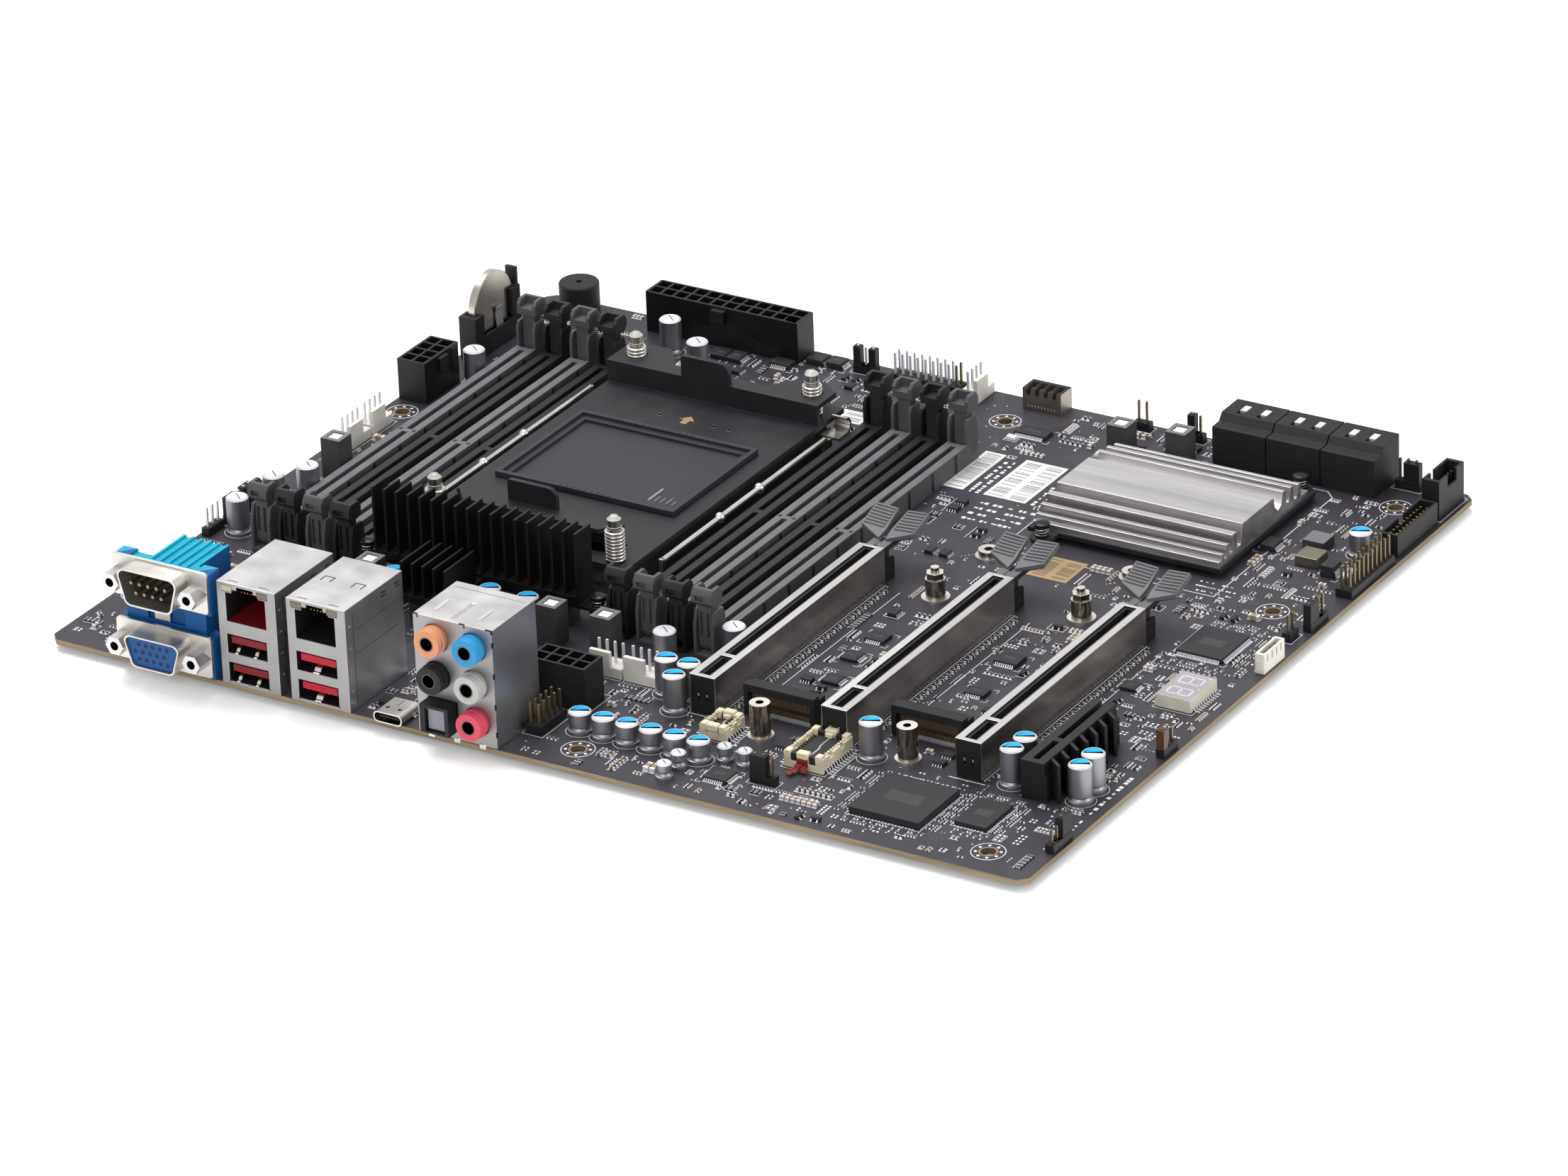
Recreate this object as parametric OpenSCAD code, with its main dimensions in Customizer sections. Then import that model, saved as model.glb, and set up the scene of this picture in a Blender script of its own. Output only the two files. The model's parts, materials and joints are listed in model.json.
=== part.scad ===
// Workstation motherboard: one processor socket, eight memory slots, four expansion slots
// and a rear row of ports, as separate pieces. Millimetres.
// Every module is drawn from the board's rear left corner: X along the rear edge, Y away
// from it, Z up from the board's underside. at_datum() then moves the origin to the datum
// mounting hole beside the rear edge.

/* [Board] */
// Length of the rear edge
board_w = 304.8; // [304:0.1:306]
// Depth from the rear edge
board_d = 254; // [253.5:0.1:255]
// Thickness of the board
board_t = 1.6; // [1.4:0.1:1.6]
// Size of the cut corners
corner = 2.5; // [1:0.5:3]
// Diameter of the mounting holes
hole_d = 3.96; // [3.8:0.02:4.2]

/* [Memory slots] */
// Distance between neighbouring memory slots
dimm_pitch = 9.14; // [9:0.01:9.3]
// Length of a memory slot between its two towers
dimm_len = 130; // [128:0.5:131]
// Width of a memory slot
dimm_w = 6.5; // [6:0.1:6.8]
// Height of a memory slot's top edge
dimm_top = 7.9; // [7:0.1:8.5]
// Height of the latch towers
tower_top = 15.5; // [13:0.5:16]

/* [Expansion slots] */
// Distance between neighbouring long slots
pcie_pitch = 40.64; // [40.6:0.02:40.7]
// Length of a long slot
pcie_len = 88.8; // [88:0.1:89]
// Height of the slots' top edge
pcie_top = 12.85; // [12:0.05:13]

/* [Processor socket] */
// Stud spacing along X
stud_dx = 58.4; // [58:0.1:59]
// Stud spacing along Y
stud_dy = 105; // [104.5:0.1:105.5]
// Height of the top of the bolster plate
plate_top = 11; // [10.5:0.1:11]
// Height of the studs' tips
stud_top = 24.5; // [23:0.5:26]

/* [Heatsinks] */
// Height of the tall fins over the power stage
vrm_top = 30; // [26:0.5:31]
// Distance between the tall fins
vrm_pitch = 3.85; // [3.8:0.01:3.9]
// Height of the chipset heatsink's flat top
chipset_top = 12.3; // [12:0.1:14]

/* [Rear ports] */
// Height of the network and USB stacks
stack_top = 32; // [31.5:0.1:33]
// Height of the audio block
audio_top = 36.5; // [36:0.1:37]
// Radius of the audio jacks' bores
jack_r = 1.8; // [1.75:0.01:1.85]

/* [Hidden] */
$fn = 48;
top = board_t;
// Rows and columns of the mounting holes; the first of each is the datum hole's own.
datum = [288.29, 10.16];
hole_spots = [[288.29, 10.16], [163.83, 10.16], [288.29, 165.1], [288.29, 237.49],
              [163.83, 237.49], [6.35, 165.1], [6.35, 33.02], [6.35, 237.49]];
wall = 0.5;          // sheet metal of the port shells
gap = 0.1;           // between fixed pieces that nest
slip = 0.2;          // between a moving piece and the walls beside it
trunnion_r = 0.9;    // pins that the latches turn on
trunnion_fit = 0.06; // their radial clearance

// Memory slots
dimm_y = 77;
dimm_left = 22;
dimm_right = 138.4;
dimm_x = [for (i = [0:7]) i < 4 ? dimm_left + i * dimm_pitch : dimm_right + (i - 4) * dimm_pitch];
grey_slots = [0, 2, 5, 7];
black_slots = [1, 3, 4, 6];
cheek = 0.95;
tower_len = 6.4;
pivot_out = 3.4;
pivot_z = 4.8;

// Long expansion slots and their latches
pcie_x = [for (i = [0:2]) 182.6 + i * pcie_pitch];
pcie_y = 42.7;
pcie_w = 8;
latch_y = pcie_y + pcie_len + 3.6;
latch_z = 4.6;

// Processor socket
cpu = [93.8, 147.4];
stud_spots = [for (i = [-1, 1], j = [-1, 1]) [cpu[0] + i * stud_dx / 2, cpu[1] + j * stud_dy / 2]];
boss_r = 2.4;
plate_z = 9.4;
cover_size = [58.5, 45.5];
cover_lip = 2.1;
bar_top = 17.6;

// Rear ports
dsub_x = 40.2;
dsub_z = [8.7, 27.8];
stacks = [[57.6, 28], [80, 27.5]];    // left side and depth of each stack
stack_w = 18.8;
stack_front = -0.3;
audio_x = [120.5, 145.2];
audio_d = 21.4;
jack_spots = [[127.2, 30.4], [139, 30.4], [127.2, 19.5], [139, 19.5], [139, 8.5]];
spdif = [124, 133];
spdif_z = [4.2, 12.6];
spdif_hole = [[125.7, 131.7], [4.9, 11.6]];
spdif_front = -4.6;
shutter_z = 11;

// Free-standing parts: position, radius, height of the top
tall_caps = [[73.8, 59.7], [103, 62.3], [115, 62.6], [54.2, 234.5], [69.5, 224.6], [14.7, 191], [15.1, 104.5], [10, 95], [9.2, 78.3],
             [174.3, 72.8], [159, 62], [167.8, 48.6], [174.9, 48.6], [174.9, 41], [235.2, 41.5],
             [275.5, 45.3], [275.5, 52.3], [295.8, 45.3], [295.8, 52.3]];
small_caps = [[201.7, 22.6], [207.9, 22.6], [192.8, 13.8], [192.6, 6.9]];
edge_cap = [293.4, 206.7];
tall_chokes = [[64.9, 61.2, 13.6], [124, 60.7, 13.6], [140.7, 61.5, 13.6], [12.9, 122.2, 13.6],
               [204.4, 232.6, 12.1], [222.2, 234.4, 12.9]];
flat_chokes = [[280.3, 206.8, 6.6, 4.2], [283.6, 196.4, 6.8, 4.6]];

// Pin headers: corner x, corner y, pins along X, pins along Y, height of the tips
pin = 0.64;
pitch = 2.54;
base_h = 2.5;
cap_top = top + base_h + 5.6;
headers = [[146.2, 12, 2, 5, 10.2], [120.9, 246, 9, 2, 10.5], [299, 181, 2, 10, 10.4],
           [301.2, 158, 1, 4, 9.5], [298.8, 150.5, 1, 2, 9], [1.2, 71.5, 1, 3, 10],
           [2.2, 80.5, 1, 5, 9.6], [213.6, 15.2, 3, 1, 9.6], [108, 247, 3, 1, 9.6],
           [282, 249, 3, 1, 10.4], [301.3, 75.6, 1, 3, 8], [301.6, 16.2, 1, 4, 8],
           [198.8, 249.5, 2, 1, 10.4], [216, 249.5, 2, 1, 9.6]];
// Jumper caps: header index, first pin along X, first pin along Y, pins along X, pins along Y
caps_on = [[3, 0, 0, 1, 2], [6, 0, 0, 1, 2], [6, 0, 3, 1, 2], [7, 0, 0, 2, 1], [8, 0, 0, 1, 1],
           [8, 2, 0, 1, 1], [9, 1, 0, 2, 1], [10, 0, 0, 1, 1], [11, 0, 2, 1, 2], [13, 0, 0, 1, 1]];
// Fan headers: corner x, corner y, turn
fan_spots = [[142.6, 49.4, 0], [153.4, 49.4, 0], [7.9, 136.6, 90], [7.9, 148, 90], [151.3, 243.4, 90]];

// ---- helpers ----

// Moves the origin from the board's corner to the datum hole.
module at_datum() translate([-datum[0], -datum[1], 0]) children();

// A block between two values on each axis.
module span(x, y, z) translate([x[0], y[0], z[0]]) cube([x[1] - x[0], y[1] - y[0], z[1] - z[0]]);

// An upright cylinder between two heights.
module post(p, r, z) translate([p[0], p[1], z[0]]) cylinder(r = r, h = z[1] - z[0]);

// A cylinder along Y, centred on x and z.
module along_y(x, z, r, y) translate([x, y[0], z]) rotate([-90, 0, 0]) cylinder(r = r, h = y[1] - y[0]);

// A cylinder along X, centred on y and z.
module along_x(y, z, r, x) translate([x[0], y, z]) rotate([0, 90, 0]) cylinder(r = r, h = x[1] - x[0]);

// Extrudes an outline drawn as X and Z along Y.
module wall_y(y) translate([0, y[1], 0]) rotate([90, 0, 0]) linear_extrude(y[1] - y[0]) children();

// Extrudes an outline drawn as Y and Z along X.
module wall_x(x) translate([x[0], 0, 0]) rotate([90, 0, 90]) linear_extrude(x[1] - x[0]) children();

function arc(c, r, a0, a1, n = 5) =
    [for (i = [0:n]) c + r * [cos(a0 + (a1 - a0) * i / n), sin(a0 + (a1 - a0) * i / n)]];

// Outline of a D-shaped shell: wide at the top, its sides sloping in by slant.
function d_outline(w, h, slant, r) = concat(
    arc([w / 2 - r, h / 2 - r], r, 0, 90), arc([-w / 2 + r, h / 2 - r], r, 90, 180),
    arc([-w / 2 + slant + r, -h / 2 + r], r, 180, 270), arc([w / 2 - slant - r, -h / 2 + r], r, 270, 360));

// ---- board ----

module pcb() color("#46444b") at_datum() difference() {
    linear_extrude(board_t) polygon([[corner, 0], [board_w - corner, 0], [board_w, corner],
        [board_w, board_d - corner], [board_w - corner, board_d], [corner, board_d],
        [0, board_d - corner], [0, corner]]);
    for (p = hole_spots) post(p, hole_d / 2, [-1, board_t + 1]);
    for (p = stud_spots) post(p, boss_r + gap, [-1, board_t + 1]);
}

// Clipped and soldered leads under the through-hole connectors; the board rests on them.
tail_h = 2;
tail_r = 0.5;
module tails(x, y, nx, ny, dx, dy)
    for (i = [0:nx - 1], j = [0:ny - 1]) post([x + i * dx, y + j * dy], tail_r, [-tail_h, 0]);
module solder_tails() color("silver") at_datum() {
    tails(42.5, 246.4, 12, 2, 4.2, 4.2);
    tails(139.4, 31.3, 4, 2, 4.2, 4.2);
    tails(2.6, 174.7, 2, 4, 4.2, 4.2);
    tails(28, 8, 2, 1, 24.4, 1);
    tails(61, 20, 3, 1, 6.3, 1);
    tails(84, 20, 3, 1, 6.3, 1);
    tails(124, 14, 3, 1, 9, 1);
    tails(233, 246, 6, 1, 9, 1);
    tails(300.3, 183, 1, 5, 1, 5.08);
    tails(300.4, 212, 1, 4, 1, 6);
    tails(182.6, 47, 3, 2, pcie_pitch, 78);
    tails(284.5, 45, 1, 2, 1, 28);
}

// ---- rear ports ----

housing_x = [34.3, 49.2];
housing_top = 32.4;
module dsub_housing() color("#0a468c") at_datum() difference() {
    union() {
        span(housing_x, [0, 18.6], [top, housing_top]);
        for (z = dsub_z, s = [-1, 1])
            translate([dsub_x + s * 13.1, 0, z]) span([-2.4, 2.4], [-0.9, 4.2], [-7, 5.4]);
        span([dsub_x - 13, dsub_x + 13], [0, 4], [top, housing_top]);
        wall_y([-7.2, 0]) translate([dsub_x, dsub_z[0]]) polygon(d_outline(16.6, 8.2, 1.6, 1.6));
        wall_y([-3, 0]) translate([dsub_x, dsub_z[1]]) polygon(d_outline(17.8, 9.4, 1.6, 1.8));
    }
    for (i = [0:4]) translate([housing_x[0] + 0.9 + i * 2.8, 0, housing_top - 0.7])
        span([0, 1.9], [2, 20], [0, 2]);
    span([dsub_x - 6, dsub_x + 6], [-1, 1.2], [15.4, 20.5]);
}

module dsub_shells() color("gainsboro") at_datum() {
    difference() {
        union() {
            for (z = dsub_z) wall_y([-2, -1]) translate([dsub_x, z])
                polygon(concat(arc([14.4, 5.1], 1, 0, 90), arc([-14.4, 5.1], 1, 90, 180),
                    arc([-14.4, -5.1], 1, 180, 270), arc([14.4, -5.1], 1, 270, 360)));
            wall_y([-8, -2]) translate([dsub_x, dsub_z[0]]) polygon(d_outline(17.8, 9.4, 1.6, 2));
            wall_y([-8, -2]) translate([dsub_x, dsub_z[1]]) polygon(d_outline(19.2, 10.8, 1.6, 2.4));
        }
        wall_y([-9, 0]) translate([dsub_x, dsub_z[0]]) polygon(d_outline(16.8, 8.4, 1.6, 1.7));
        wall_y([-9, 0]) translate([dsub_x, dsub_z[1]]) polygon(d_outline(18.1, 9.7, 1.6, 1.9));
        for (z = dsub_z, s = [-1, 1]) along_y(dsub_x + s * 12.5, z, 1.7, [-3, 0]);
    }
    // Metal tab between the two flanges.
    span([dsub_x - 4, dsub_x + 1], [0.2, 0.9], [15.5, 20.4]);
}

module dsub_jackscrews() color("silver") at_datum()
    for (z = dsub_z, s = [-1, 1]) translate([dsub_x + s * 12.5, 0, z]) difference() {
        union() {
            translate([0, -2, 0]) rotate([90, 0, 0]) cylinder(r = 2.9, h = 5.6, $fn = 6);
            along_y(0, 0, 1.6, [-2, -1]);
        }
        along_y(0, 0, 1.3, [-8, -2.4]);
    }

rj45 = [[60.3, 73], [20.5, 29]];
usb_low = [2.6, 8.2];
usb_high = [11, 16.6];
usb_x = [60, 72.8];
// The openings of one stack's face, extruded along Y; x is the stack's left side.
module port_holes(x, y) translate([x - stacks[0][0], 0, 0]) {
    span(rj45[0], y, rj45[1]);
    span([62.4, 70.9], y, [28.9, 30.1]);
    span([64, 69.3], y, [30, 31.1]);
    for (z = [usb_low, usb_high]) span(usb_x, y, z);
}

module lan_usb_shells() color("lightgray") at_datum()
    for (s = stacks) difference() {
        span([s[0], s[0] + stack_w], [stack_front, s[1]], [top, stack_top]);
        span([s[0] + wall, s[0] + stack_w - wall], [stack_front + wall, s[1] - wall],
             [top - 1, stack_top - wall]);
        port_holes(s[0], [stack_front - 1, 1]);
        for (x = [1.4, 12.9]) span([s[0] + x, s[0] + x + 3.4], [stack_front - 1, 1], [29.4, 31.2]);
    }

module port_cores() color("dimgray") at_datum()
    for (s = stacks) difference() {
        span([s[0] + wall + gap, s[0] + stack_w - wall - gap],
             [stack_front + wall + gap, s[1] - wall - gap], [top, stack_top - wall - gap]);
        port_holes(s[0], [-1, 14]);
    }

module usb_tongues() color("crimson") at_datum() {
    for (s = stacks, z = [usb_low, usb_high]) translate([s[0] - stacks[0][0], 0, 0])
        span([usb_x[0] + 0.8, usb_x[1] - 0.8], [0.6, 13.9], [z[1] - 2.9, z[1] - 0.8]);
    span([107.9, 114.1], [0, 6], [2.85, 3.55]);
}

module rounded_slab(w, h, r) polygon(concat(arc([w / 2 - r, h / 2 - r], r, 0, 90),
    arc([-w / 2 + r, h / 2 - r], r, 90, 180), arc([-w / 2 + r, -h / 2 + r], r, 180, 270),
    arc([w / 2 - r, -h / 2 + r], r, 270, 360)));

slim = [[164, 176.5], [247.4, 253.8], 8.2];
module usb_c_and_slim_ports() color("darkgray") at_datum() {
    difference() {
        wall_y([-0.8, 8.3]) translate([111, 3.2]) rounded_slab(9, 3.2, 1.4);
        wall_y([-1, 7]) translate([111, 3.2]) rounded_slab(8.3, 2.5, 1.1);
    }
    difference() {
        span(slim[0], slim[1], [top, slim[2]]);
        for (i = [0:3]) translate([slim[0][0] + 0.9 + i * 2.8, 0, 0])
            span([0, 2.2], [slim[1][0] + 1.6, slim[1][1] - 1.2], [3.4, slim[2] + 1]);
        for (i = [0:3]) translate([slim[0][0] + 0.9 + i * 2.8, 0, 0])
            span([0.5, 1.7], [slim[1][0] - 1, slim[1][0] + 2], [6.2, slim[2] + 1]);
    }
}

module audio_shell() color("silver") at_datum() difference() {
    span(audio_x, [0, audio_d], [top, audio_top]);
    span([audio_x[0] + wall, audio_x[1] - wall], [wall, audio_d - wall], [top - 1, audio_top - wall]);
    for (j = jack_spots) along_y(j[0], j[1], 4, [-1, 1]);
    span([spdif[0] - gap, spdif[1] + gap], [-1, 1], [spdif_z[0] - gap, spdif_z[1] + gap]);
    span([131.6, 132.4], [1.5, 12], [audio_top - 0.2, audio_top + 1]);
}

module audio_jacks() color("gray") at_datum()
    for (j = jack_spots) difference() {
        union() {
            along_y(j[0], j[1], 3.9, [-4.2, 2]);
            span([j[0] - 4.8, j[0] + 4.8], [2, 19], [j[1] - 4.8, j[1] + 4.8]);
        }
        along_y(j[0], j[1], jack_r, [-5, 14]);
    }

module spdif_port() color("#1c1c1e") at_datum() difference() {
    union() {
        span(spdif, [spdif_front, 19], spdif_z);
        span(spdif, [0.7, 19], [top, 5]);
    }
    span(spdif_hole[0], [spdif_front - 1, 7.5], spdif_hole[1]);
    along_x(spdif_front + 1.6, shutter_z, 0.56, [spdif_hole[0][0] - 0.7, spdif_hole[0][1] + 0.7]);
}

module spdif_shutter() color("slategray") at_datum() {
    along_x(spdif_front + 1.6, shutter_z, 0.5, [spdif_hole[0][0] - 0.6, spdif_hole[0][1] + 0.6]);
    span([spdif_hole[0][0] + 0.3, spdif_hole[0][1] - 0.3], [spdif_front + 1.2, spdif_front + 2],
         [spdif_hole[1][0] + 0.3, shutter_z]);
}

// ---- memory slots ----

// A latch tower with its inner face at y = 0 and Y pointing away from the slot.
module tower() difference() {
    union() {
        for (s = [-1, 1]) translate([s * (dimm_w - cheek) / 2, 0, 0])
            wall_x([-cheek / 2, cheek / 2]) polygon([[0, top], [tower_len, top], [tower_len, 11],
                [tower_len - 1.2, tower_top], [0.8, tower_top], [0, tower_top - 2]]);
        span([-dimm_w / 2, dimm_w / 2], [0, tower_len], [top, top + 1]);
    }
    along_x(pivot_out, pivot_z, trunnion_r + trunnion_fit, [-4, 4]);
}

module dimm_slot(x) translate([x, dimm_y, 0]) {
    difference() {
        span([-dimm_w / 2, dimm_w / 2], [0, dimm_len], [top, dimm_top]);
        span([-0.85, 0.85], [2, 66.4], [3.4, dimm_top + 1]);
        span([-0.85, 0.85], [68.4, dimm_len - 2], [3.4, dimm_top + 1]);
    }
    translate([0, dimm_len, 0]) tower();
    mirror([0, 1, 0]) tower();
}
module dimm_slots_grey() color("#6e6e70") at_datum() for (i = grey_slots) dimm_slot(dimm_x[i]);
module dimm_slots_black() color("#202022") at_datum() for (i = black_slots) dimm_slot(dimm_x[i]);

// A latch lever about its pivot, with Y pointing away from the slot.
lever_w = dimm_w - 2 * cheek - 2 * slip;
module lever() {
    difference() {
        union() {
            along_x(0, 0, 1.6, [-lever_w / 2, lever_w / 2]);
            span([-lever_w / 2, lever_w / 2], [-1.3, 1.8], [0, 13]);
            span([-lever_w / 2, lever_w / 2], [-2.4, 0], [-1.2, 0.4]);
            // Finger pad.
            wall_x([-3.2, 3.2]) polygon([[-2.4, 12.8], [1.8, 12], [3.6, 13.6], [3.6, 15.8],
                [2.4, 17.4], [-1.2, 17.4], [-2.4, 16]]);
        }
        span([-2.1, 2.1], [-3, 1.4], [14.9, 18]);
        span([-1.5, -0.6], [1.1, 3], [2.6, 10]);
        span([0.6, 1.5], [1.1, 3], [2.6, 10]);
        span([-2, 0.6], [2.6, 4], [14, 15.4]);
    }
    along_x(0, 0, trunnion_r, [-dimm_w / 2 + 0.1, dimm_w / 2 - 0.1]);
}
module dimm_latch(i, far) color(len(search(i, grey_slots)) > 0 ? "#6e6e70" : "#202022") at_datum()
    translate([dimm_x[i], far ? dimm_y + dimm_len + pivot_out : dimm_y - pivot_out, pivot_z])
        mirror([0, far ? 0 : 1, 0]) lever();

// ---- expansion slots ----

module pcie_ears() difference() {
    for (s = [-1, 1]) span([s * 3 - 0.5, s * 3 + 0.5], [-3.5, 2.4], [top - latch_z, 3]);
    along_x(0, 0, trunnion_r + trunnion_fit, [-5, 5]);
}

module pcie_slots() color("#18181a") at_datum() {
    for (x = pcie_x) {
        difference() {
            span([x - 3.5, x + 3.5], [pcie_y + 0.1, pcie_y + pcie_len - 0.5], [top, pcie_top - 0.5]);
            span([x - 0.9, x + 0.9], [pcie_y + 1.8, pcie_y + 12.6], [3.5, pcie_top]);
            span([x - 0.9, x + 0.9], [pcie_y + 14.8, pcie_y + pcie_len - 1.8], [3.5, pcie_top]);
            for (s = [-1, 1]) span([x + s * 1.2 - 0.3, x + s * 1.2 + 0.3], [pcie_y - 1, pcie_y + 1], [5.6, 8]);
        }
        translate([x, latch_y, latch_z]) pcie_ears();
    }
    short_slot();
}

// The open-ended short slot with slanting ribs along one side.
short_x = 284.5;
module short_slot() {
    difference() {
        span([short_x - 3.5, short_x + 3.5], [40, 79], [top, pcie_top]);
        span([short_x - 0.9, short_x + 0.9], [42, 53], [3.5, pcie_top + 1]);
        span([short_x - 0.9, short_x + 0.9], [55, 80], [3.5, pcie_top + 1]);
    }
    for (i = [0:6]) translate([short_x + 3.2, 44 + i * 5, top]) rotate([0, 0, -38])
        span([0, 4.6], [0, 1], [0, 11]);
    span([short_x + 3.2, short_x + 4.2], [40, 79], [top, 9]);
}

module pcie_shields() color("lightgray") at_datum()
    for (x = pcie_x) difference() {
        span([x - pcie_w / 2, x + pcie_w / 2], [pcie_y, pcie_y + pcie_len], [top + 0.3, pcie_top]);
        span([x - 3.6, x + 3.6], [pcie_y - 1, pcie_y + pcie_len - 0.4], [0, pcie_top - 0.4]);
        span([x - 1.8, x + 1.8], [pcie_y + 1.4, pcie_y + 13], [0, pcie_top + 1]);
        span([x - 1.8, x + 1.8], [pcie_y + 14.6, pcie_y + pcie_len - 1.2], [0, pcie_top + 1]);
    }

// A slot latch about its pivot: hub, strut, fork, and two ribbed thumb pads that rise outwards.
pad_len = 12.6;
module pcie_latch(i) color("#77777a") at_datum() translate([pcie_x[i], latch_y, latch_z]) {
    along_x(0, 0, trunnion_r, [-3.4, 3.4]);
    along_x(0, 0, 1.7, [-2.3, 2.3]);
    span([-2.3, 2.3], [-1, 1.6], [0, 7]);
    span([-1, 1], [1, 12], [3.6, 6.6]);
    for (s = [-1, 1]) mirror([s < 0 ? 1 : 0, 0, 0]) {
        span([0.6, 3], [-2.6, 4.4], [5.6, 7.2]);
        translate([1.2, 2.2, 6.4]) rotate([17, -5, -2]) {
            linear_extrude(1.6) polygon([[0, 0], [7.2, 3.6], [7.2, pad_len], [0.3, pad_len], [-0.4, 4]]);
            for (k = [0:6]) span([0.6, 6.8], [4.1 + k * 1.25, 4.7 + k * 1.25], [1.6, 2]);
        }
    }
}

// ---- processor socket ----

module cpu_socket() color("#2b2b2e") at_datum() translate([cpu[0], cpu[1], 0]) difference() {
    span([-28, 28], [-34, 34], [top, plate_z - 1.6]);
    span([-24, 24], [-30, 30], [plate_z - 3.4, plate_z]);
}

module cpu_backplate() color("#3a3a3d") at_datum() {
    difference() {
        translate([cpu[0], cpu[1], 0]) span([-35, 35], [-57, 57], [-1.5, 0]);
        translate([cpu[0], cpu[1], 0]) span([-20, 20], [-26, 26], [-2, 1]);
    }
    for (p = stud_spots) post(p, boss_r, [0, board_t]);
}

module bolster_plate() color("#2a2a2e") at_datum() {
    difference() {
        union() {
            translate([cpu[0], cpu[1], 0]) span([-35, 35], [-56, 60], [plate_z, plate_top]);
            // Side rails down to the board.
            for (s = [-1, 1]) translate([cpu[0] + s * 33, cpu[1], 0]) span([-1, 1], [-50, 52], [top, plate_z]);
            bolster_bars();
        }
        translate([cpu[0], cpu[1], 0]) span([-cover_size[0] / 2 + 1.8, cover_size[0] / 2 - 1.8],
            [-cover_size[1] / 2 + 1.8, cover_size[1] / 2 - 1.8], [plate_z - 1, plate_top + 1]);
        for (p = stud_spots) post(p, 2.5, [0, 12]);
        for (p = stud_spots) post(p, 3.1, [12, 30]);
        translate([cpu[0], cpu[1], 0]) span([14, 27], [-50, -43], [plate_z - 1, plate_top + 1]);
        translate([cpu[0], cpu[1], 0]) span([-27, -14], [-50, -43], [plate_z - 1, plate_top + 1]);
    }
}

// Cross bars at both ends of the plate, each with an upright skirt and a rounded tab.
bar_in = 45.5;
module bolster_bars() translate([cpu[0], cpu[1], 0]) {
    wall_y([bar_in, bar_in + 1.5]) bar_face(35);
    wall_y([-bar_in + 0.1, -bar_in + 1.6]) translate([0, 0]) bar_face(27);
    translate([0, 0, bar_top - 1.5]) linear_extrude(1.5) polygon([[-35, bar_in], [35, bar_in],
        [35, 56], [29, 60], [22, 60], [15, 51], [-15, 51], [-22, 60], [-29, 60], [-35, 56]]);
    translate([0, 0, bar_top - 1.5]) linear_extrude(1.5) polygon([[-27, -bar_in + 1.6],
        [27, -bar_in + 1.6], [22, -50], [-22, -50]]);
}
module bar_face(half) polygon(concat([[-half, plate_top], [half, plate_top], [half, bar_top],
    [6, bar_top]], arc([3, 21], 3, 0, 90), arc([-9, 23], 1, 90, 180), [[-10, bar_top], [-half, bar_top]]));

module bolster_springs() color("silver") at_datum() {
    for (x = [54.7, 132.3]) {
        translate([x, 0, 9]) rotate([-90, 0, 0]) translate([0, 0, 104]) cylinder(r = 0.8, h = 86);
        for (y = [134, 155]) translate([x, y, 9]) sphere(r = 1.5);
        span([x - 0.7, x + 0.7], [103, 104.4], [top, 9.5]);
        span([x - 0.7, x + 0.7], [189.6, 191], [top, 9.5]);
    }
    translate([0, 0, 8]) {
        span([129, 135.4], [193, 198.5], [0, 0.8]);
        difference() {
            along_x(198.5, 2.4, 2.4, [130, 135]);
            along_x(198.5, 2.4, 1.6, [129, 136]);
            span([129, 136], [195, 198.4], [0.9, 6]);
        }
        span([131, 132.6], [192.4, 194], [-6.4, 0]);
    }
}

module load_studs() color("silver") at_datum() for (p = stud_spots) translate([p[0], p[1], 0]) {
    rotate_extrude() polygon([[0, top], [2.4, top], [2.4, plate_z - 1.4], [1.5, plate_z - 1.4],
        [1.5, stud_top - 4.1], [2, stud_top - 4], [2, stud_top - 1], [1, stud_top], [0, stud_top]]);
    // Coil springs, as stacked rings.
    for (k = [0:8]) translate([0, 0, plate_top + 0.6 + k * 1.02])
        rotate_extrude() translate([2.45, 0]) circle(r = 0.42, $fn = 16);
}

module socket_cover() color("#3c3b41") at_datum() translate([cpu[0], cpu[1], 0]) difference() {
    union() {
        span([-cover_size[0] / 2, cover_size[0] / 2], [-cover_size[1] / 2, cover_size[1] / 2],
             [plate_top + gap, 12.7]);
        span([-cover_size[0] / 2 + cover_lip, cover_size[0] / 2 - cover_lip],
             [-cover_size[1] / 2 + cover_lip, cover_size[1] / 2 - cover_lip], [plate_z + 0.3, 12]);
    }
    span([-cover_size[0] / 2 + 1.5, cover_size[0] / 2 - 1.5],
         [-cover_size[1] / 2 + 1.5, cover_size[1] / 2 - 1.5], [plate_top + gap + 0.5, 14]);
    span([-cover_size[0] / 2 + 3.3, cover_size[0] / 2 - 3.3],
         [-cover_size[1] / 2 + 3.3, cover_size[1] / 2 - 3.3], [plate_z + 1.2, 14]);
}

// ---- heatsinks ----

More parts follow.
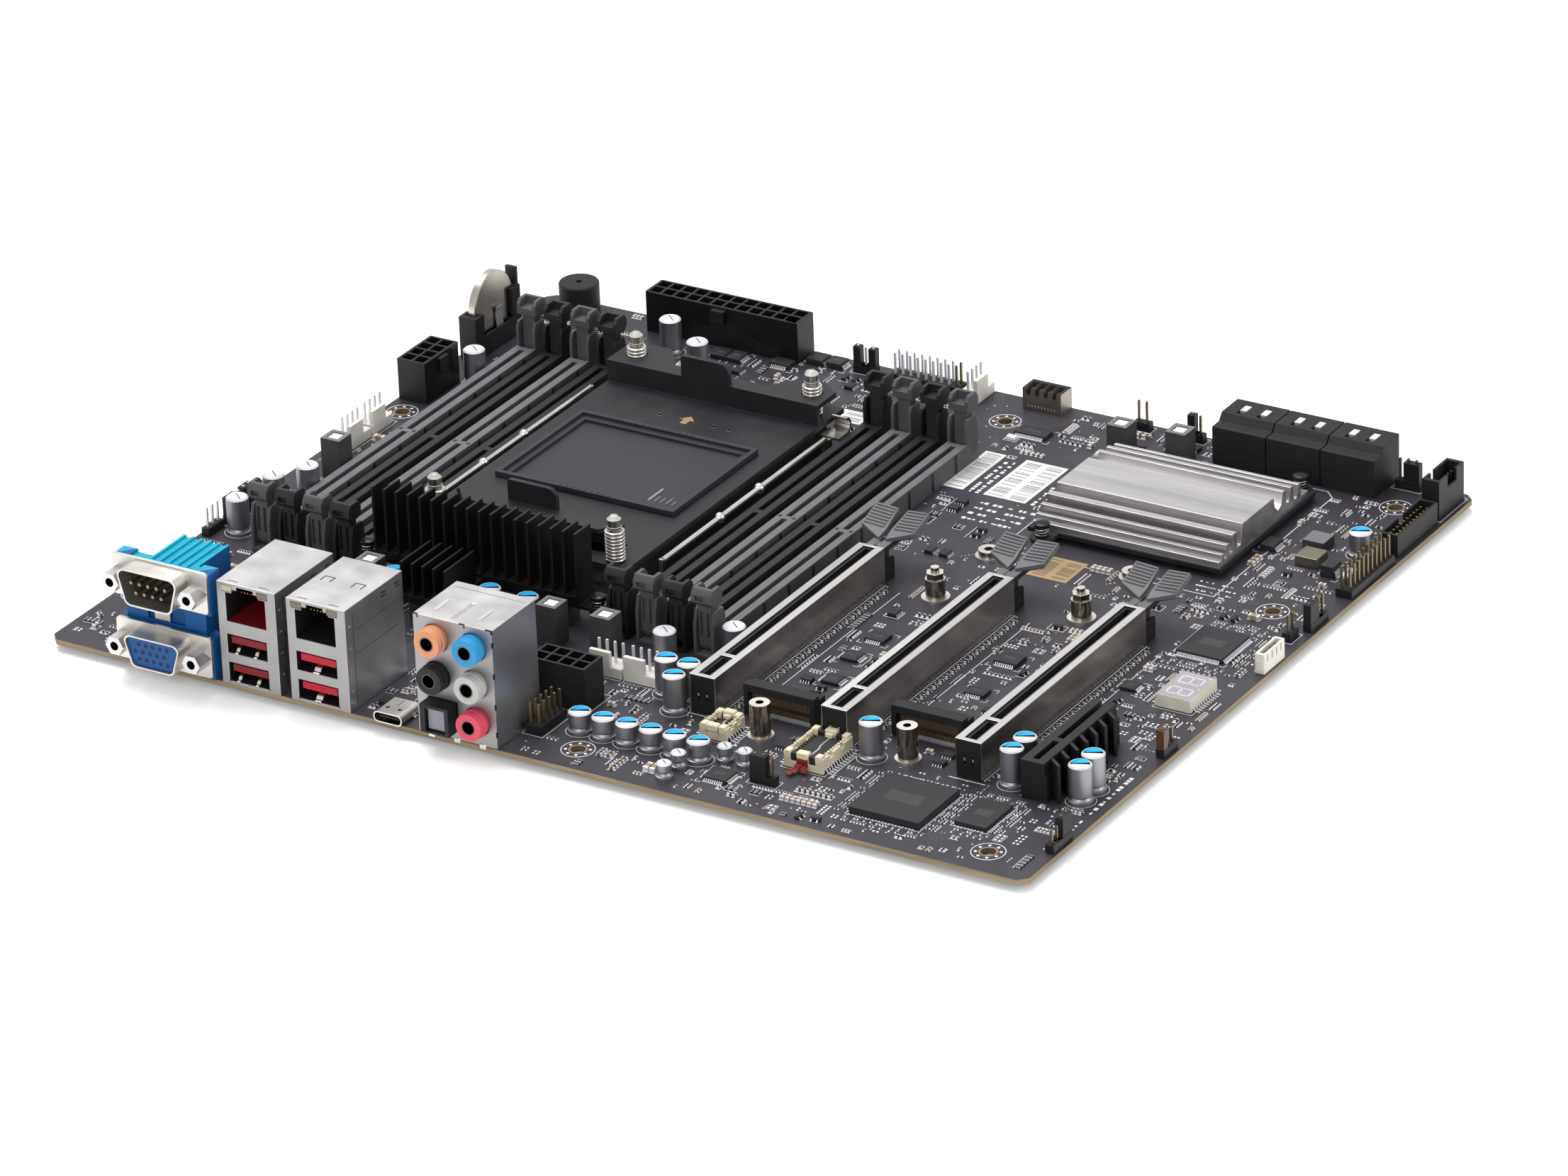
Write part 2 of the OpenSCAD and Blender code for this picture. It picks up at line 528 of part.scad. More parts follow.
vrm = [60.1, 70.5];
vrm_fins = 18;
vrm_base = [7.6, 11];
ear = [7.6, 8.6];
vrm_pins = [[56.4, 72.9], [131.6, 72.2]];
vrm_w = (vrm_fins - 1) * vrm_pitch + 0.8;
module vrm_heatsink() color("#161618") at_datum() difference() {
    union() {
        span([vrm[0], vrm[0] + vrm_w], [vrm[1], vrm[1] + 8.4], vrm_base);
        for (i = [0:vrm_fins - 1]) translate([vrm[0] + i * vrm_pitch, vrm[1], 0])
            span([0, 0.8], [0, 7.7], [10, vrm_top]);
        // Lower group of fins in front.
        span([80.6, 95.8], [52.6, vrm[1] + 1], [7.6, 10]);
        for (i = [0:4]) span([80.6 + i * 3.5, 81.3 + i * 3.5], [52.6, 67.6], [9, 19.6]);
        // Ears that the push pins go through.
        for (p = vrm_pins) post(p, 2.8, ear);
        span([vrm_pins[0][0], vrm[0] + 1], [vrm[1], vrm_pins[0][1] + 2.8], ear);
        span([vrm[0] + vrm_w - 1, vrm_pins[1][0]], [vrm[1], vrm_pins[1][1] + 2.8], ear);
    }
    for (p = vrm_pins) post(p, 1.5, [7, 12]);
}

chip_x = [207.6, 265.8];
chip_pins = [[212.8, 172.2], [261.8, 231.4]];
module chipset_heatsink() color("#b9babd") at_datum() difference() {
    union() {
        span([206.2, 266.6], [175.6, 229.2], [3.2, 4.6]);
        for (p = chip_pins) post(p, 3.4, [3.2, 4.6]);
        span([chip_pins[0][0] - 3.4, chip_pins[0][0] + 3.4], [chip_pins[0][1], 176], [3.2, 4.6]);
        span([chip_pins[1][0] - 3.4, 266.6], [229, chip_pins[1][1]], [3.2, 4.6]);
        wall_x(chip_x) polygon([[176.2, 4.6], [176.2, 6.4], [177.2, 6.4], [177.6, 5.6], [178, 7.9],
            [179.4, 7.9], [179.6, 6], [180.6, 6], [180.6, 9.7], [182.2, 9.7], [182.4, 6.2],
            [184.2, 6.2], [184.2, 11.3], [186.6, 11.3], [187, 6.4], [189, 6.4], [190, chipset_top],
            [208, chipset_top], [209, 9], [210.6, 7.4], [212.6, 8.4], [213.6, 11.8], [215, 11.8],
            [215.6, 7.6], [217, 7.2], [218, 11.2], [219.4, 11.2], [220.2, 6.6], [221.6, 6.6],
            [222.4, 10.2], [223.6, 10.2], [224.4, 6], [228.4, 6], [228.4, 4.6]]);
    }
    for (p = chip_pins) post(p, 1.5, [0, 14]);
    for (p = chip_pins) post(p, 2.8, [4.6, 14]);
}

// Push pins: flat head, neck with a spring's ridges, and a shank through the plate whose top is z.
module push_pin(p, z, head) translate([p[0], p[1], 0]) rotate_extrude() polygon([[0, top], [1.3, top],
    [1.3, z + 0.1], [1.9, z + 0.2], [1.9, z + 0.7], [1.4, z + 0.8], [1.4, z + 1], [1.9, z + 1.1],
    [1.9, z + 1.6], [1.4, z + 1.7], [1.4, head - 1.4], [2.3, head - 1.2], [2.3, head - 0.3],
    [2, head], [0, head]]);
module push_pins() color("#1b1b1d") at_datum() {
    for (p = chip_pins) push_pin(p, 4.6, 8.6);
    for (p = vrm_pins) push_pin(p, ear[1], 12.2);
}

// ---- connectors ----

cell = 4.2;
conn_top = 14.4;
// A power connector with its corner at x, y and nx by ny sockets.
module power_socket(x, y, nx, ny) translate([x, y, 0]) difference() {
    span([0, nx * cell + 1.1], [0, ny * cell + 0.8], [top, conn_top]);
    for (i = [0:nx - 1], j = [0:ny - 1]) translate([0.95 + i * cell, 0.8 + j * cell, 0])
        span([0, 3.4], [0, 3.4], [6, conn_top + 1]);
}
module power_connectors() color("#1a1a1c") at_datum() {
    power_socket(39.8, 244.2, 12, 2);
    span([62.8, 67.2], [242.6, 244.2], [9.6, 13.6]);
    power_socket(136.8, 28.8, 4, 2);
    span([143.4, 148], [38, 39.6], [9.6, 13.6]);
    power_socket(0.6, 172.2, 2, 4);
    span([9.8, 11.3], [178.6, 183.2], [9.6, 13.6]);
}

sata_x = [229.2, 246.3, 263.4];
module sata_ports() color("#1c1c1f") at_datum() for (x = sata_x) difference() {
    wall_x([x + 0.15, x + 16.95]) polygon([[239.8, top], [239.8, 13], [243.8, 13], [245.6, 15.2],
        [255.1, 15.2], [255.1, top]]);
    for (z = [3.2, 9]) {
        span([x + 1.6, x + 15.5], [246, 256], [z, z + 1.5]);
        span([x + 1.6, x + 15.5], [246, 256], [z + 2.9, z + 4.6]);
        span([x + 1.6, x + 2.6], [246, 256], [z, z + 4.6]);
        span([x + 14.5, x + 15.5], [246, 256], [z, z + 4.6]);
    }
    for (w = [4.2, 10.6]) span([x + w, x + w + 2.2], [246.6, 252.4], [14, 16]);
}

// ---- round and square parts ----

module can(p, r, h) translate([p[0], p[1], 0]) rotate_extrude() polygon([[0, top], [r + 0.3, top],
    [r + 0.3, top + 0.9], [r - 0.1, top + 1.1], [r - 0.45, top + 1.7], [r, top + 2.3],
    [r, h - 0.4], [r - 0.4, h], [0, h]]);
module capacitors() color("silver") at_datum() {
    for (p = tall_caps) can(p, 3.2, 12.6);
    for (i = [0:5]) can([158.7 + 7.36 * i, 19.6], 3.15, 7.7);
    for (p = small_caps) can(p, 2.1, 6.2);
    can(edge_cap, 3.2, 9);
}

module chokes() color("#3a3a3c") at_datum() {
    for (p = tall_chokes) translate([p[0], p[1], 0]) difference() {
        span([-3.2, 3.2], [-3.2, 3.2], [top, p[2]]);
        span([-1.8, 1.8], [-1.8, 1.8], [p[2] - 0.4, p[2] + 1]);
    }
    for (p = flat_chokes) translate([p[0], p[1], 0]) span([-p[2] / 2, p[2] / 2], [-p[2] / 2, p[2] / 2], [top, p[3]]);
    for (i = [0:6]) translate([66 + i * 8.2, 70.4, 0]) span([0, 7], [0, 7], [top, 7.6]);
    for (i = [0:1]) translate([81.2 + i * 7.2, 55, 0]) span([0, 6.6], [0, 8], [top, 7.6]);
}

module buzzer() color("#242427") at_datum() translate([14.6, 247.6, 0]) rotate_extrude()
    polygon([[0, top], [5.7, top], [6, top + 0.6], [6, 10.6], [5.7, 11], [0.9, 11], [0.9, 8.5], [0, 8.5]]);

cell_spot = [4.4, 215.4, 15.2];
cell_r = 10;
cell_t = 3.2;
module battery_holder() color("#19191b") at_datum() translate([cell_spot[0], cell_spot[1], 0]) difference() {
    union() {
        span([-3, 3], [-12, 12], [top, 8]);
        span([-3, 3], [-12, -7.4], [top, 15]);
        span([-3, 3], [7.4, 12], [top, 17]);
        span([-1.2, 2.4], [10.6, 12], [top, 22.5]);
    }
    translate([-cell_t / 2 - slip, 0, cell_spot[2]]) rotate([0, 90, 0])
        cylinder(r = cell_r + slip, h = cell_t + 2 * slip, $fn = 96);
    span([-cell_t / 2 - slip, cell_t / 2 + slip], [-cell_r - slip, cell_r + slip], [cell_spot[2], 30]);
}
module coin_cell() color("silver") at_datum() translate(cell_spot) rotate([0, 90, 0])
    translate([0, 0, -cell_t / 2]) rotate_extrude($fn = 96) polygon([[0, 0], [8.6, 0], [8.6, 0.4],
        [9.5, 0.4], [cell_r, 0.9], [cell_r, cell_t - 0.3], [cell_r - 0.3, cell_t], [0, cell_t]]);

// ---- headers ----

module header_bases() color("#1d1d20") at_datum() {
    for (h = headers) translate([h[0], h[1], top]) cube([h[2] * pitch, h[3] * pitch, base_h]);
    // Jumper caps stand on their headers.
    for (c = caps_on) translate([headers[c[0]][0] + c[1] * pitch, headers[c[0]][1] + c[2] * pitch,
        top + base_h]) translate([0.1, 0.1, 0]) cube([c[3] * pitch - 0.2, c[4] * pitch - 0.2, cap_top - top - base_h]);
    // Shrouded header, open at the top.
    difference() {
        span([297.8, 303.4], [209.4, 233.4], [top, 8.4]);
        span([298.5, 302.7], [210.3, 232.5], [3, 9]);
        span([297, 298.6], [219.6, 223.2], [4, 9]);
    }
    // Tall shrouded connector at the corner.
    difference() {
        span([297.4, 302.8], [235.4, 250.6], [top, 13.4]);
        span([298.2, 302.1], [236.6, 249.4], [4, 14]);
        span([302, 303], [240.6, 246], [9.5, 14]);
        span([297, 298.3], [239.6, 242], [7.5, 14]);
    }
    // Pale four-pin socket on the right edge.
    difference() {
        span([301.3, 304.2], [130.5, 142], [top, 7.5]);
        span([302, 303.6], [131.4, 141.1], [3.5, 8]);
    }
}

// True where a jumper cap covers the pin.
function capped(n, i, j) = len([for (c = caps_on)
    if (c[0] == n && i >= c[1] && i < c[1] + c[3] && j >= c[2] && j < c[2] + c[4]) 1]) > 0;
module upright_pin(x, y, z) translate([x - pin / 2, y - pin / 2, z[0]]) cube([pin, pin, z[1] - z[0]]);
module header_pins() color("#b09a63") at_datum() {
    for (n = [0:len(headers) - 1]) let (h = headers[n]) for (i = [0:h[2] - 1], j = [0:h[3] - 1])
        upright_pin(h[0] + (i + 0.5) * pitch, h[1] + (j + 0.5) * pitch,
            capped(n, i, j) ? [cap_top, max(h[4] + 0.3, cap_top + 0.2)] : [top + base_h, h[4]]);
    for (i = [0:1], j = [0:9]) upright_pin(299.6 + i * 2, 212.4 + j * 2, [3, 7.4]);
    for (i = [0:5]) upright_pin(300.1, 238 + i * 2, [4, 11]);
    for (i = [0:3]) upright_pin(302.8, 132.4 + i * 2.5, [3.5, 6.8]);
    for (f = fan_spots) translate([f[0], f[1], 0]) rotate([0, 0, f[2]])
        for (i = [0:3]) upright_pin(1.3 + i * pitch, 3.6, [top + 3, 10.8]);
    // Contacts of the serial port.
    for (i = [0:4]) along_y(dsub_x - 5.5 + i * 2.74, dsub_z[1] + 1.4, 0.5, [-7.4, -3]);
    for (i = [0:3]) along_y(dsub_x - 4.1 + i * 2.74, dsub_z[1] - 1.4, 0.5, [-7.4, -3]);
}

module fan_headers() color("gainsboro") at_datum() for (f = fan_spots)
    translate([f[0], f[1], 0]) rotate([0, 0, f[2]]) {
        span([0, 10.2], [0, 6], [top, top + 3]);
        span([0.2, 6.6], [0, 1.3], [top + 3, 8.9]);
    }

// ---- storage sockets, standoffs and chips ----

m2_x = [203, 244.1];
m2_y = [47.9, 55.2];
module m2_connectors() color("#202022") at_datum() for (i = [0:1]) translate([m2_x[i], m2_y[i], 0])
    difference() {
        union() {
            span([-10.9, 10.9], [0, 2.8], [8.4, 10.6]);
            span([-10.9, 10.9], [2.4, 6], [top, 9.4]);
            for (s = [-1, 1]) span([s * 10.2 - 0.7, s * 10.2 + 0.7], [0, 6], [top, 9.4]);
        }
        span([-9.8, 9.8], [3.4, 7], [6.4, 8.4]);
    }

short_posts = [[203, 38.5], [244.3, 44.8]];
hex_posts = [[203, 130.5], [244.5, 137.5]];
ring_nuts = [[203.2, 159.3], [244.7, 165.6]];
module m2_standoffs() color("silver") at_datum() {
    for (p = short_posts) translate([p[0], p[1], 0]) difference() {
        union() {
            cylinder_at(3.6, [top, 2.4]);
            cylinder_at(2.8, [2.4, 11.8]);
        }
        cylinder_at(1.1, [5, 13]);
    }
    for (p = hex_posts) translate([p[0], p[1], 0]) {
        cylinder_at(4, [top, 2.4]);
        cylinder_at(2.8, [2.4, 7.8]);
        translate([0, 0, 7.8]) cylinder(r = 2.6, h = 1.9, $fn = 6);
        cylinder_at(1.2, [9.7, 11.2]);
    }
    for (p = ring_nuts) translate([p[0], p[1], 0]) difference() {
        union() {
            cylinder_at(3.8, [top, 2.4]);
            cylinder_at(2.9, [2.4, 4.1]);
        }
        cylinder_at(1.25, [0, 5]);
    }
}
module cylinder_at(r, z) post([0, 0], r, z);

// Flat packages: corner x, corner y, size along X, size along Y, height of the top
packages = [[245.5, 12, 21, 21.5, 3.6], [273, 19, 9.5, 14.5, 2.8], [202, 10.5, 7, 6.5, 2.8],
            [277, 131, 14, 16, 3], [198.6, 86.6, 5, 5, 2.6], [198.6, 99.6, 6, 5, 2.6], [236.4, 103.6, 7, 6, 2.8],
            [201, 72.5, 5, 5, 2.6], [238.5, 84, 6, 4.5, 2.6], [273.6, 105.5, 4.6, 4.6, 2.6],
            [170.4, 231, 10, 5, 2.8], [267.2, 197, 4.2, 6, 3.4],
            [289.6, 190, 4, 5, 5], [93, 245.6, 5.4, 5.4, 3.4], [99.4, 246, 5, 5, 3.4],
            [66, 236.4, 4.6, 5.8, 3], [71.2, 236.4, 4.6, 5.8, 3], [84.4, 239.4, 6.4, 4.4, 3],
            [18, 14, 6, 4.4, 2.6], [180.6, 24, 9, 3.6, 2.6]];
module chips() color("#303034") at_datum() {
    for (p = packages) translate([p[0], p[1], top + 0.1]) cube([p[2], p[3], p[4] - top - 0.1]);
    // Chipset under its heatsink.
    span([222, 250], [188, 216], [top + 0.1, 3.2]);
}

module rom_socket(x, y, z) difference() {
    span(x, y, [top, z]);
    span([x[0] + 1.3, x[1] - 1.3], [y[0] + 1.3, y[1] - 1.3], [3, z + 1]);
    for (s = [0.25, 0.62]) let (c = y[0] + s * (y[1] - y[0])) span([x[0] - 1, x[1] + 1], [c, c + 1.6], [z - 1.2, z + 1]);
}
module rom_sockets() color("#e2d9bd") at_datum() {
    rom_socket([188.6, 197], [31, 40.4], 5.4);
    rom_socket([217, 229], [27, 42.4], 6);
}

module post_display() color("#e8e4d8") at_datum() span([287, 297.5], [101.5, 116.5], [top, 5.4]);

// ---- assembly ----

pcb();
solder_tails();
dsub_housing();
dsub_shells();
dsub_jackscrews();
lan_usb_shells();
port_cores();
usb_tongues();
usb_c_and_slim_ports();
audio_shell();
audio_jacks();
spdif_port();
spdif_shutter();
dimm_slots_grey();
dimm_slots_black();
for (i = [1:8]) dimm_latch(i - 1, false);
for (i = [1:8]) dimm_latch(i - 1, true);
pcie_slots();
pcie_shields();
for (i = [1:3]) pcie_latch(i - 1);
cpu_socket();
cpu_backplate();
bolster_plate();
bolster_springs();
load_studs();
socket_cover();
vrm_heatsink();
chipset_heatsink();
push_pins();
power_connectors();
sata_ports();
capacitors();
chokes();
buzzer();
battery_holder();
coin_cell();
header_bases();
header_pins();
fan_headers();
m2_connectors();
m2_standoffs();
chips();
rom_sockets();
post_display();
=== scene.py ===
"""Looks of the workstation motherboard: materials, light, camera and the fine parts around the CAD frame.

Lengths are board millimetres, from the board's rear left corner: X along the rear edge, Y away from
it, Z up from the board's underside. Piece.make() turns them into the frame's metres. A span is a pair
of values on one axis, and x, y, z in a loop are the three spans of one CAD solid's box.
"""

import json
import math
import random

import bpy
from mathutils import Matrix, Vector

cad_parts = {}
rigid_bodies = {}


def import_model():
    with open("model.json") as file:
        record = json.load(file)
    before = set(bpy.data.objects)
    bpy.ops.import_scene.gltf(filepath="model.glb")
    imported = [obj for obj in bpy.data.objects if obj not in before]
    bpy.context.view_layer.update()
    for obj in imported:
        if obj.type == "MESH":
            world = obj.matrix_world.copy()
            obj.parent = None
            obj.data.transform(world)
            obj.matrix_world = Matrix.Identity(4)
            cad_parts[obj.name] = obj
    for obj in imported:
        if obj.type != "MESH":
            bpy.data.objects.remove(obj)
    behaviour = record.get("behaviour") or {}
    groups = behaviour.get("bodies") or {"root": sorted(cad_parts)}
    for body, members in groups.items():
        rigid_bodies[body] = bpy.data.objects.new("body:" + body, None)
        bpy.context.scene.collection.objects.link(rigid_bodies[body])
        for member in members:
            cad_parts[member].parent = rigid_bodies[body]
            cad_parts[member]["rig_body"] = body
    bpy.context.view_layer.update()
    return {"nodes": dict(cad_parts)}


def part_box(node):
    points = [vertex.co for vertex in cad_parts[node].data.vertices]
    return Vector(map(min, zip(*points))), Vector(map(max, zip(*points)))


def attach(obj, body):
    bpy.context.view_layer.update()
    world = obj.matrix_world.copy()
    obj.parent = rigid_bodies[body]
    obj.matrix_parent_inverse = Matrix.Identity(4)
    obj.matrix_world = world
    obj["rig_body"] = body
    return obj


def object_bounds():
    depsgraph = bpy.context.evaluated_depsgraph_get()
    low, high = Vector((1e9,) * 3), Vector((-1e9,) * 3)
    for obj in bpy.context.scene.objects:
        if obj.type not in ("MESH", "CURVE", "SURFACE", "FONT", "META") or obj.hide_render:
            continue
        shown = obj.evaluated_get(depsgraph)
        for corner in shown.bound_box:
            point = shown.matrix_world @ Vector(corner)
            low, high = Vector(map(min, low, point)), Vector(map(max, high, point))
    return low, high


MM = 0.001
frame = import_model()
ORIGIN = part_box("pcb")[0]
LOOK = {}
rng = random.Random(20)


def mm_box(node):
    """A CAD node's box in board millimetres: ((x0, x1), (y0, y1), (z0, z1))."""
    lo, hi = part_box(node)
    return tuple(((lo[k] - ORIGIN[k]) / MM, (hi[k] - ORIGIN[k]) / MM) for k in range(3))


BOARD = mm_box("pcb")
TOP = BOARD[2][1]


def solids(node):
    """The boxes of a CAD node's separate solids, and for each face the number of its solid."""
    mesh = frame["nodes"][node].data
    spots = {}
    ids = [spots.setdefault(tuple(round(c, 6) for c in v.co), len(spots)) for v in mesh.vertices]
    root = list(range(len(spots)))

    def find(i):
        while root[i] != i:
            root[i] = root[root[i]]
            i = root[i]
        return i

    for p in mesh.polygons:
        first = find(ids[p.vertices[0]])
        for v in p.vertices[1:]:
            root[find(ids[v])] = first
    order = {}
    owner = [order.setdefault(find(ids[p.vertices[0]]), len(order)) for p in mesh.polygons]
    lo = [[1e9] * 3 for _ in order]
    hi = [[-1e9] * 3 for _ in order]
    for v, i in zip(mesh.vertices, ids):
        if find(i) not in order:
            continue
        n = order[find(i)]
        for k in range(3):
            c = (v.co[k] - ORIGIN[k]) / MM
            lo[n][k], hi[n][k] = min(lo[n][k], c), max(hi[n][k], c)
    return [tuple(zip(a, b)) for a, b in zip(lo, hi)], owner


SOLIDS = {n: solids(n) for n in frame["nodes"]}


def boxes_of(node):
    return sorted(SOLIDS[node][0])


def mid(span):
    return (span[0] + span[1]) / 2


def size(span):
    return span[1] - span[0]


def about(centre, half):
    """The span that reaches half to each side of a centre."""
    return centre - half, centre + half


def grown(span, by):
    """A span made longer at both ends, or shorter with a negative value."""
    return span[0] - by, span[1] + by


def every(pitch, start, count):
    """Places in a row, at one pitch."""
    return [start + pitch * i for i in range(count)]


def outline(x, y):
    """The corners of a rectangle, anticlockwise."""
    return [(x[0], y[0]), (x[1], y[0]), (x[1], y[1]), (x[0], y[1])]


# ---- materials ----


def linear(colour):
    """An 8-bit display colour as the linear values that shaders take."""
    out = [c / 255 for c in colour]
    return tuple(c / 12.92 if c <= 0.04045 else ((c + 0.055) / 1.055) ** 2.4 for c in out) + (1,)


def wire(tree, a, output, b, socket):
    tree.links.new(a.outputs[output], b.inputs[socket])


def add_node(tree, kind, **values):
    """A shader node, with its sockets and settings given by name."""
    made = tree.nodes.new("ShaderNode" + kind)
    for key, value in values.items():
        if key in made.inputs.keys():
            made.inputs[key].default_value = value
        else:
            setattr(made, key, value)
    return made


def ramp_between(tree, low, high, start=0.3, end=0.7):
    ramp = add_node(tree, "ValToRGB")
    ramp.color_ramp.elements[0].position, ramp.color_ramp.elements[1].position = start, end
    ramp.color_ramp.elements[0].color, ramp.color_ramp.elements[1].color = low, high
    return ramp


def shaded(colour, by):
    return tuple(min(1, c * by) for c in linear(colour)[:3]) + (1,)


def look(name, colour, rough=0.5, metal=0.0, drift=0.1, grain=1600, lift=0.1, stretch=(1, 1, 1),
         glow=0.0):
    """A procedural finish: colour and roughness drift with broad noise, and fine grain lifts the surface.

    grain is in features per metre, stretch draws the grain out along an axis, lift is the bump's strength."""
    m = bpy.data.materials.new(name)
    m.use_nodes = True
    tree = m.node_tree
    shader = tree.nodes["Principled BSDF"]
    shader.inputs["Metallic"].default_value = metal
    shader.inputs["Specular IOR Level"].default_value = 0.5 if metal else 0.26
    if glow:
        shader.inputs["Emission Color"].default_value = linear(colour)
        shader.inputs["Emission Strength"].default_value = glow
    place = add_node(tree, "TexCoord")
    turn = add_node(tree, "Mapping", Scale=stretch)
    broad = add_node(tree, "TexNoise", Scale=grain / 14, Detail=3)
    fine = add_node(tree, "TexNoise", Scale=grain, Detail=2)
    wire(tree, place, "Object", turn, "Vector")
    wire(tree, turn, "Vector", broad, "Vector")
    wire(tree, turn, "Vector", fine, "Vector")
    ramp = ramp_between(tree, shaded(colour, 1 - drift), shaded(colour, 1 + drift))
    wire(tree, broad, "Fac", ramp, "Fac")
    wire(tree, ramp, "Color", shader, "Base Color")
    gloss = add_node(tree, "MapRange", **{"To Min": max(0.04, rough - 0.09), "To Max": min(1, rough + 0.09)})
    wire(tree, broad, "Fac", gloss, "Value")
    wire(tree, gloss, "Result", shader, "Roughness")
    bump = add_node(tree, "Bump", Strength=lift, Distance=0.00008)
    wire(tree, fine, "Fac", bump, "Height")
    wire(tree, bump, "Normal", shader, "Normal")
    LOOK[name] = m
    return tree


def above(tree, source, output, limit):
    """1 where a value is over a limit, else 0."""
    over = add_node(tree, "Math", operation="GREATER_THAN")
    over.inputs[1].default_value = limit
    wire(tree, source, output, over, "Value")
    return over


def product(tree, a, output_a, b, output_b):
    both = add_node(tree, "Math", operation="MULTIPLY")
    wire(tree, a, output_a, both, 0)
    wire(tree, b, output_b, both, 1)
    return both


def pattern_over(tree, pattern, colour):
    """Mixes another colour in where a pattern is high, and lets the pattern lift the surface."""
    tone = add_node(tree, "Mix", data_type="RGBA")
    tone.inputs[7].default_value = colour
    wire(tree, tree.nodes["Color Ramp"], "Color", tone, 6)
    wire(tree, pattern, 0, tone, 0)
    wire(tree, tone, 2, tree.nodes["Principled BSDF"], "Base Color")
    wire(tree, pattern, 0, tree.nodes["Bump"], "Height")


def mask_look(name, colour):
    """Solder mask: bundles of fine tracks show through it as slightly raised, lighter bands."""
    tree = look(name, colour, rough=0.4, drift=0.05, grain=1200, lift=0.04)
    place = tree.nodes["Texture Coordinate"]
    cells = add_node(tree, "TexVoronoi", Scale=55)
    wire(tree, place, "Object", cells, "Vector")
    pick = add_node(tree, "SeparateColor")
    wire(tree, cells, "Color", pick, "Color")
    bands = []
    for angle in (0, 90, 45):
        turn = add_node(tree, "Mapping", Rotation=(0, 0, math.radians(angle)))
        wave = add_node(tree, "TexWave", Scale=260)
        wire(tree, place, "Object", turn, "Vector")
        wire(tree, turn, "Vector", wave, "Vector")
        bands.append(wave)
    # Each cell takes one direction, by its red value, and nearly half of the cells have no tracks.
    chosen, output = bands[0], "Fac"
    for band, limit in zip(bands[1:], (0.38, 0.72)):
        over = above(tree, pick, "Red", limit)
        mix = add_node(tree, "Mix", data_type="FLOAT")
        wire(tree, over, 0, mix, 0)
        wire(tree, chosen, output, mix, 2)
        wire(tree, band, "Fac", mix, 3)
        chosen, output = mix, 0
    used = above(tree, pick, "Green", 0.45)
    pattern_over(tree, product(tree, chosen, 0, used, 0), shaded(colour, 1.45))
    tree.nodes["Bump"].inputs["Strength"].default_value = 0.15


def hatched_look(name, colour):
    """Sheet metal pressed with a close pattern of small dimples."""
    tree = look(name, colour, rough=0.36, metal=1.0, drift=0.08, grain=900, lift=0.1)
    rows = []
    for axis in ("Y", "Z"):
        rows.append(add_node(tree, "TexWave", Scale=520, bands_direction=axis))
        wire(tree, tree.nodes["Texture Coordinate"], "Object", rows[-1], "Vector")
    # The dimples are mixed in much darker: painted shade in them.
    pattern_over(tree, product(tree, rows[0], "Fac", rows[1], "Fac"), shaded(colour, 0.35))


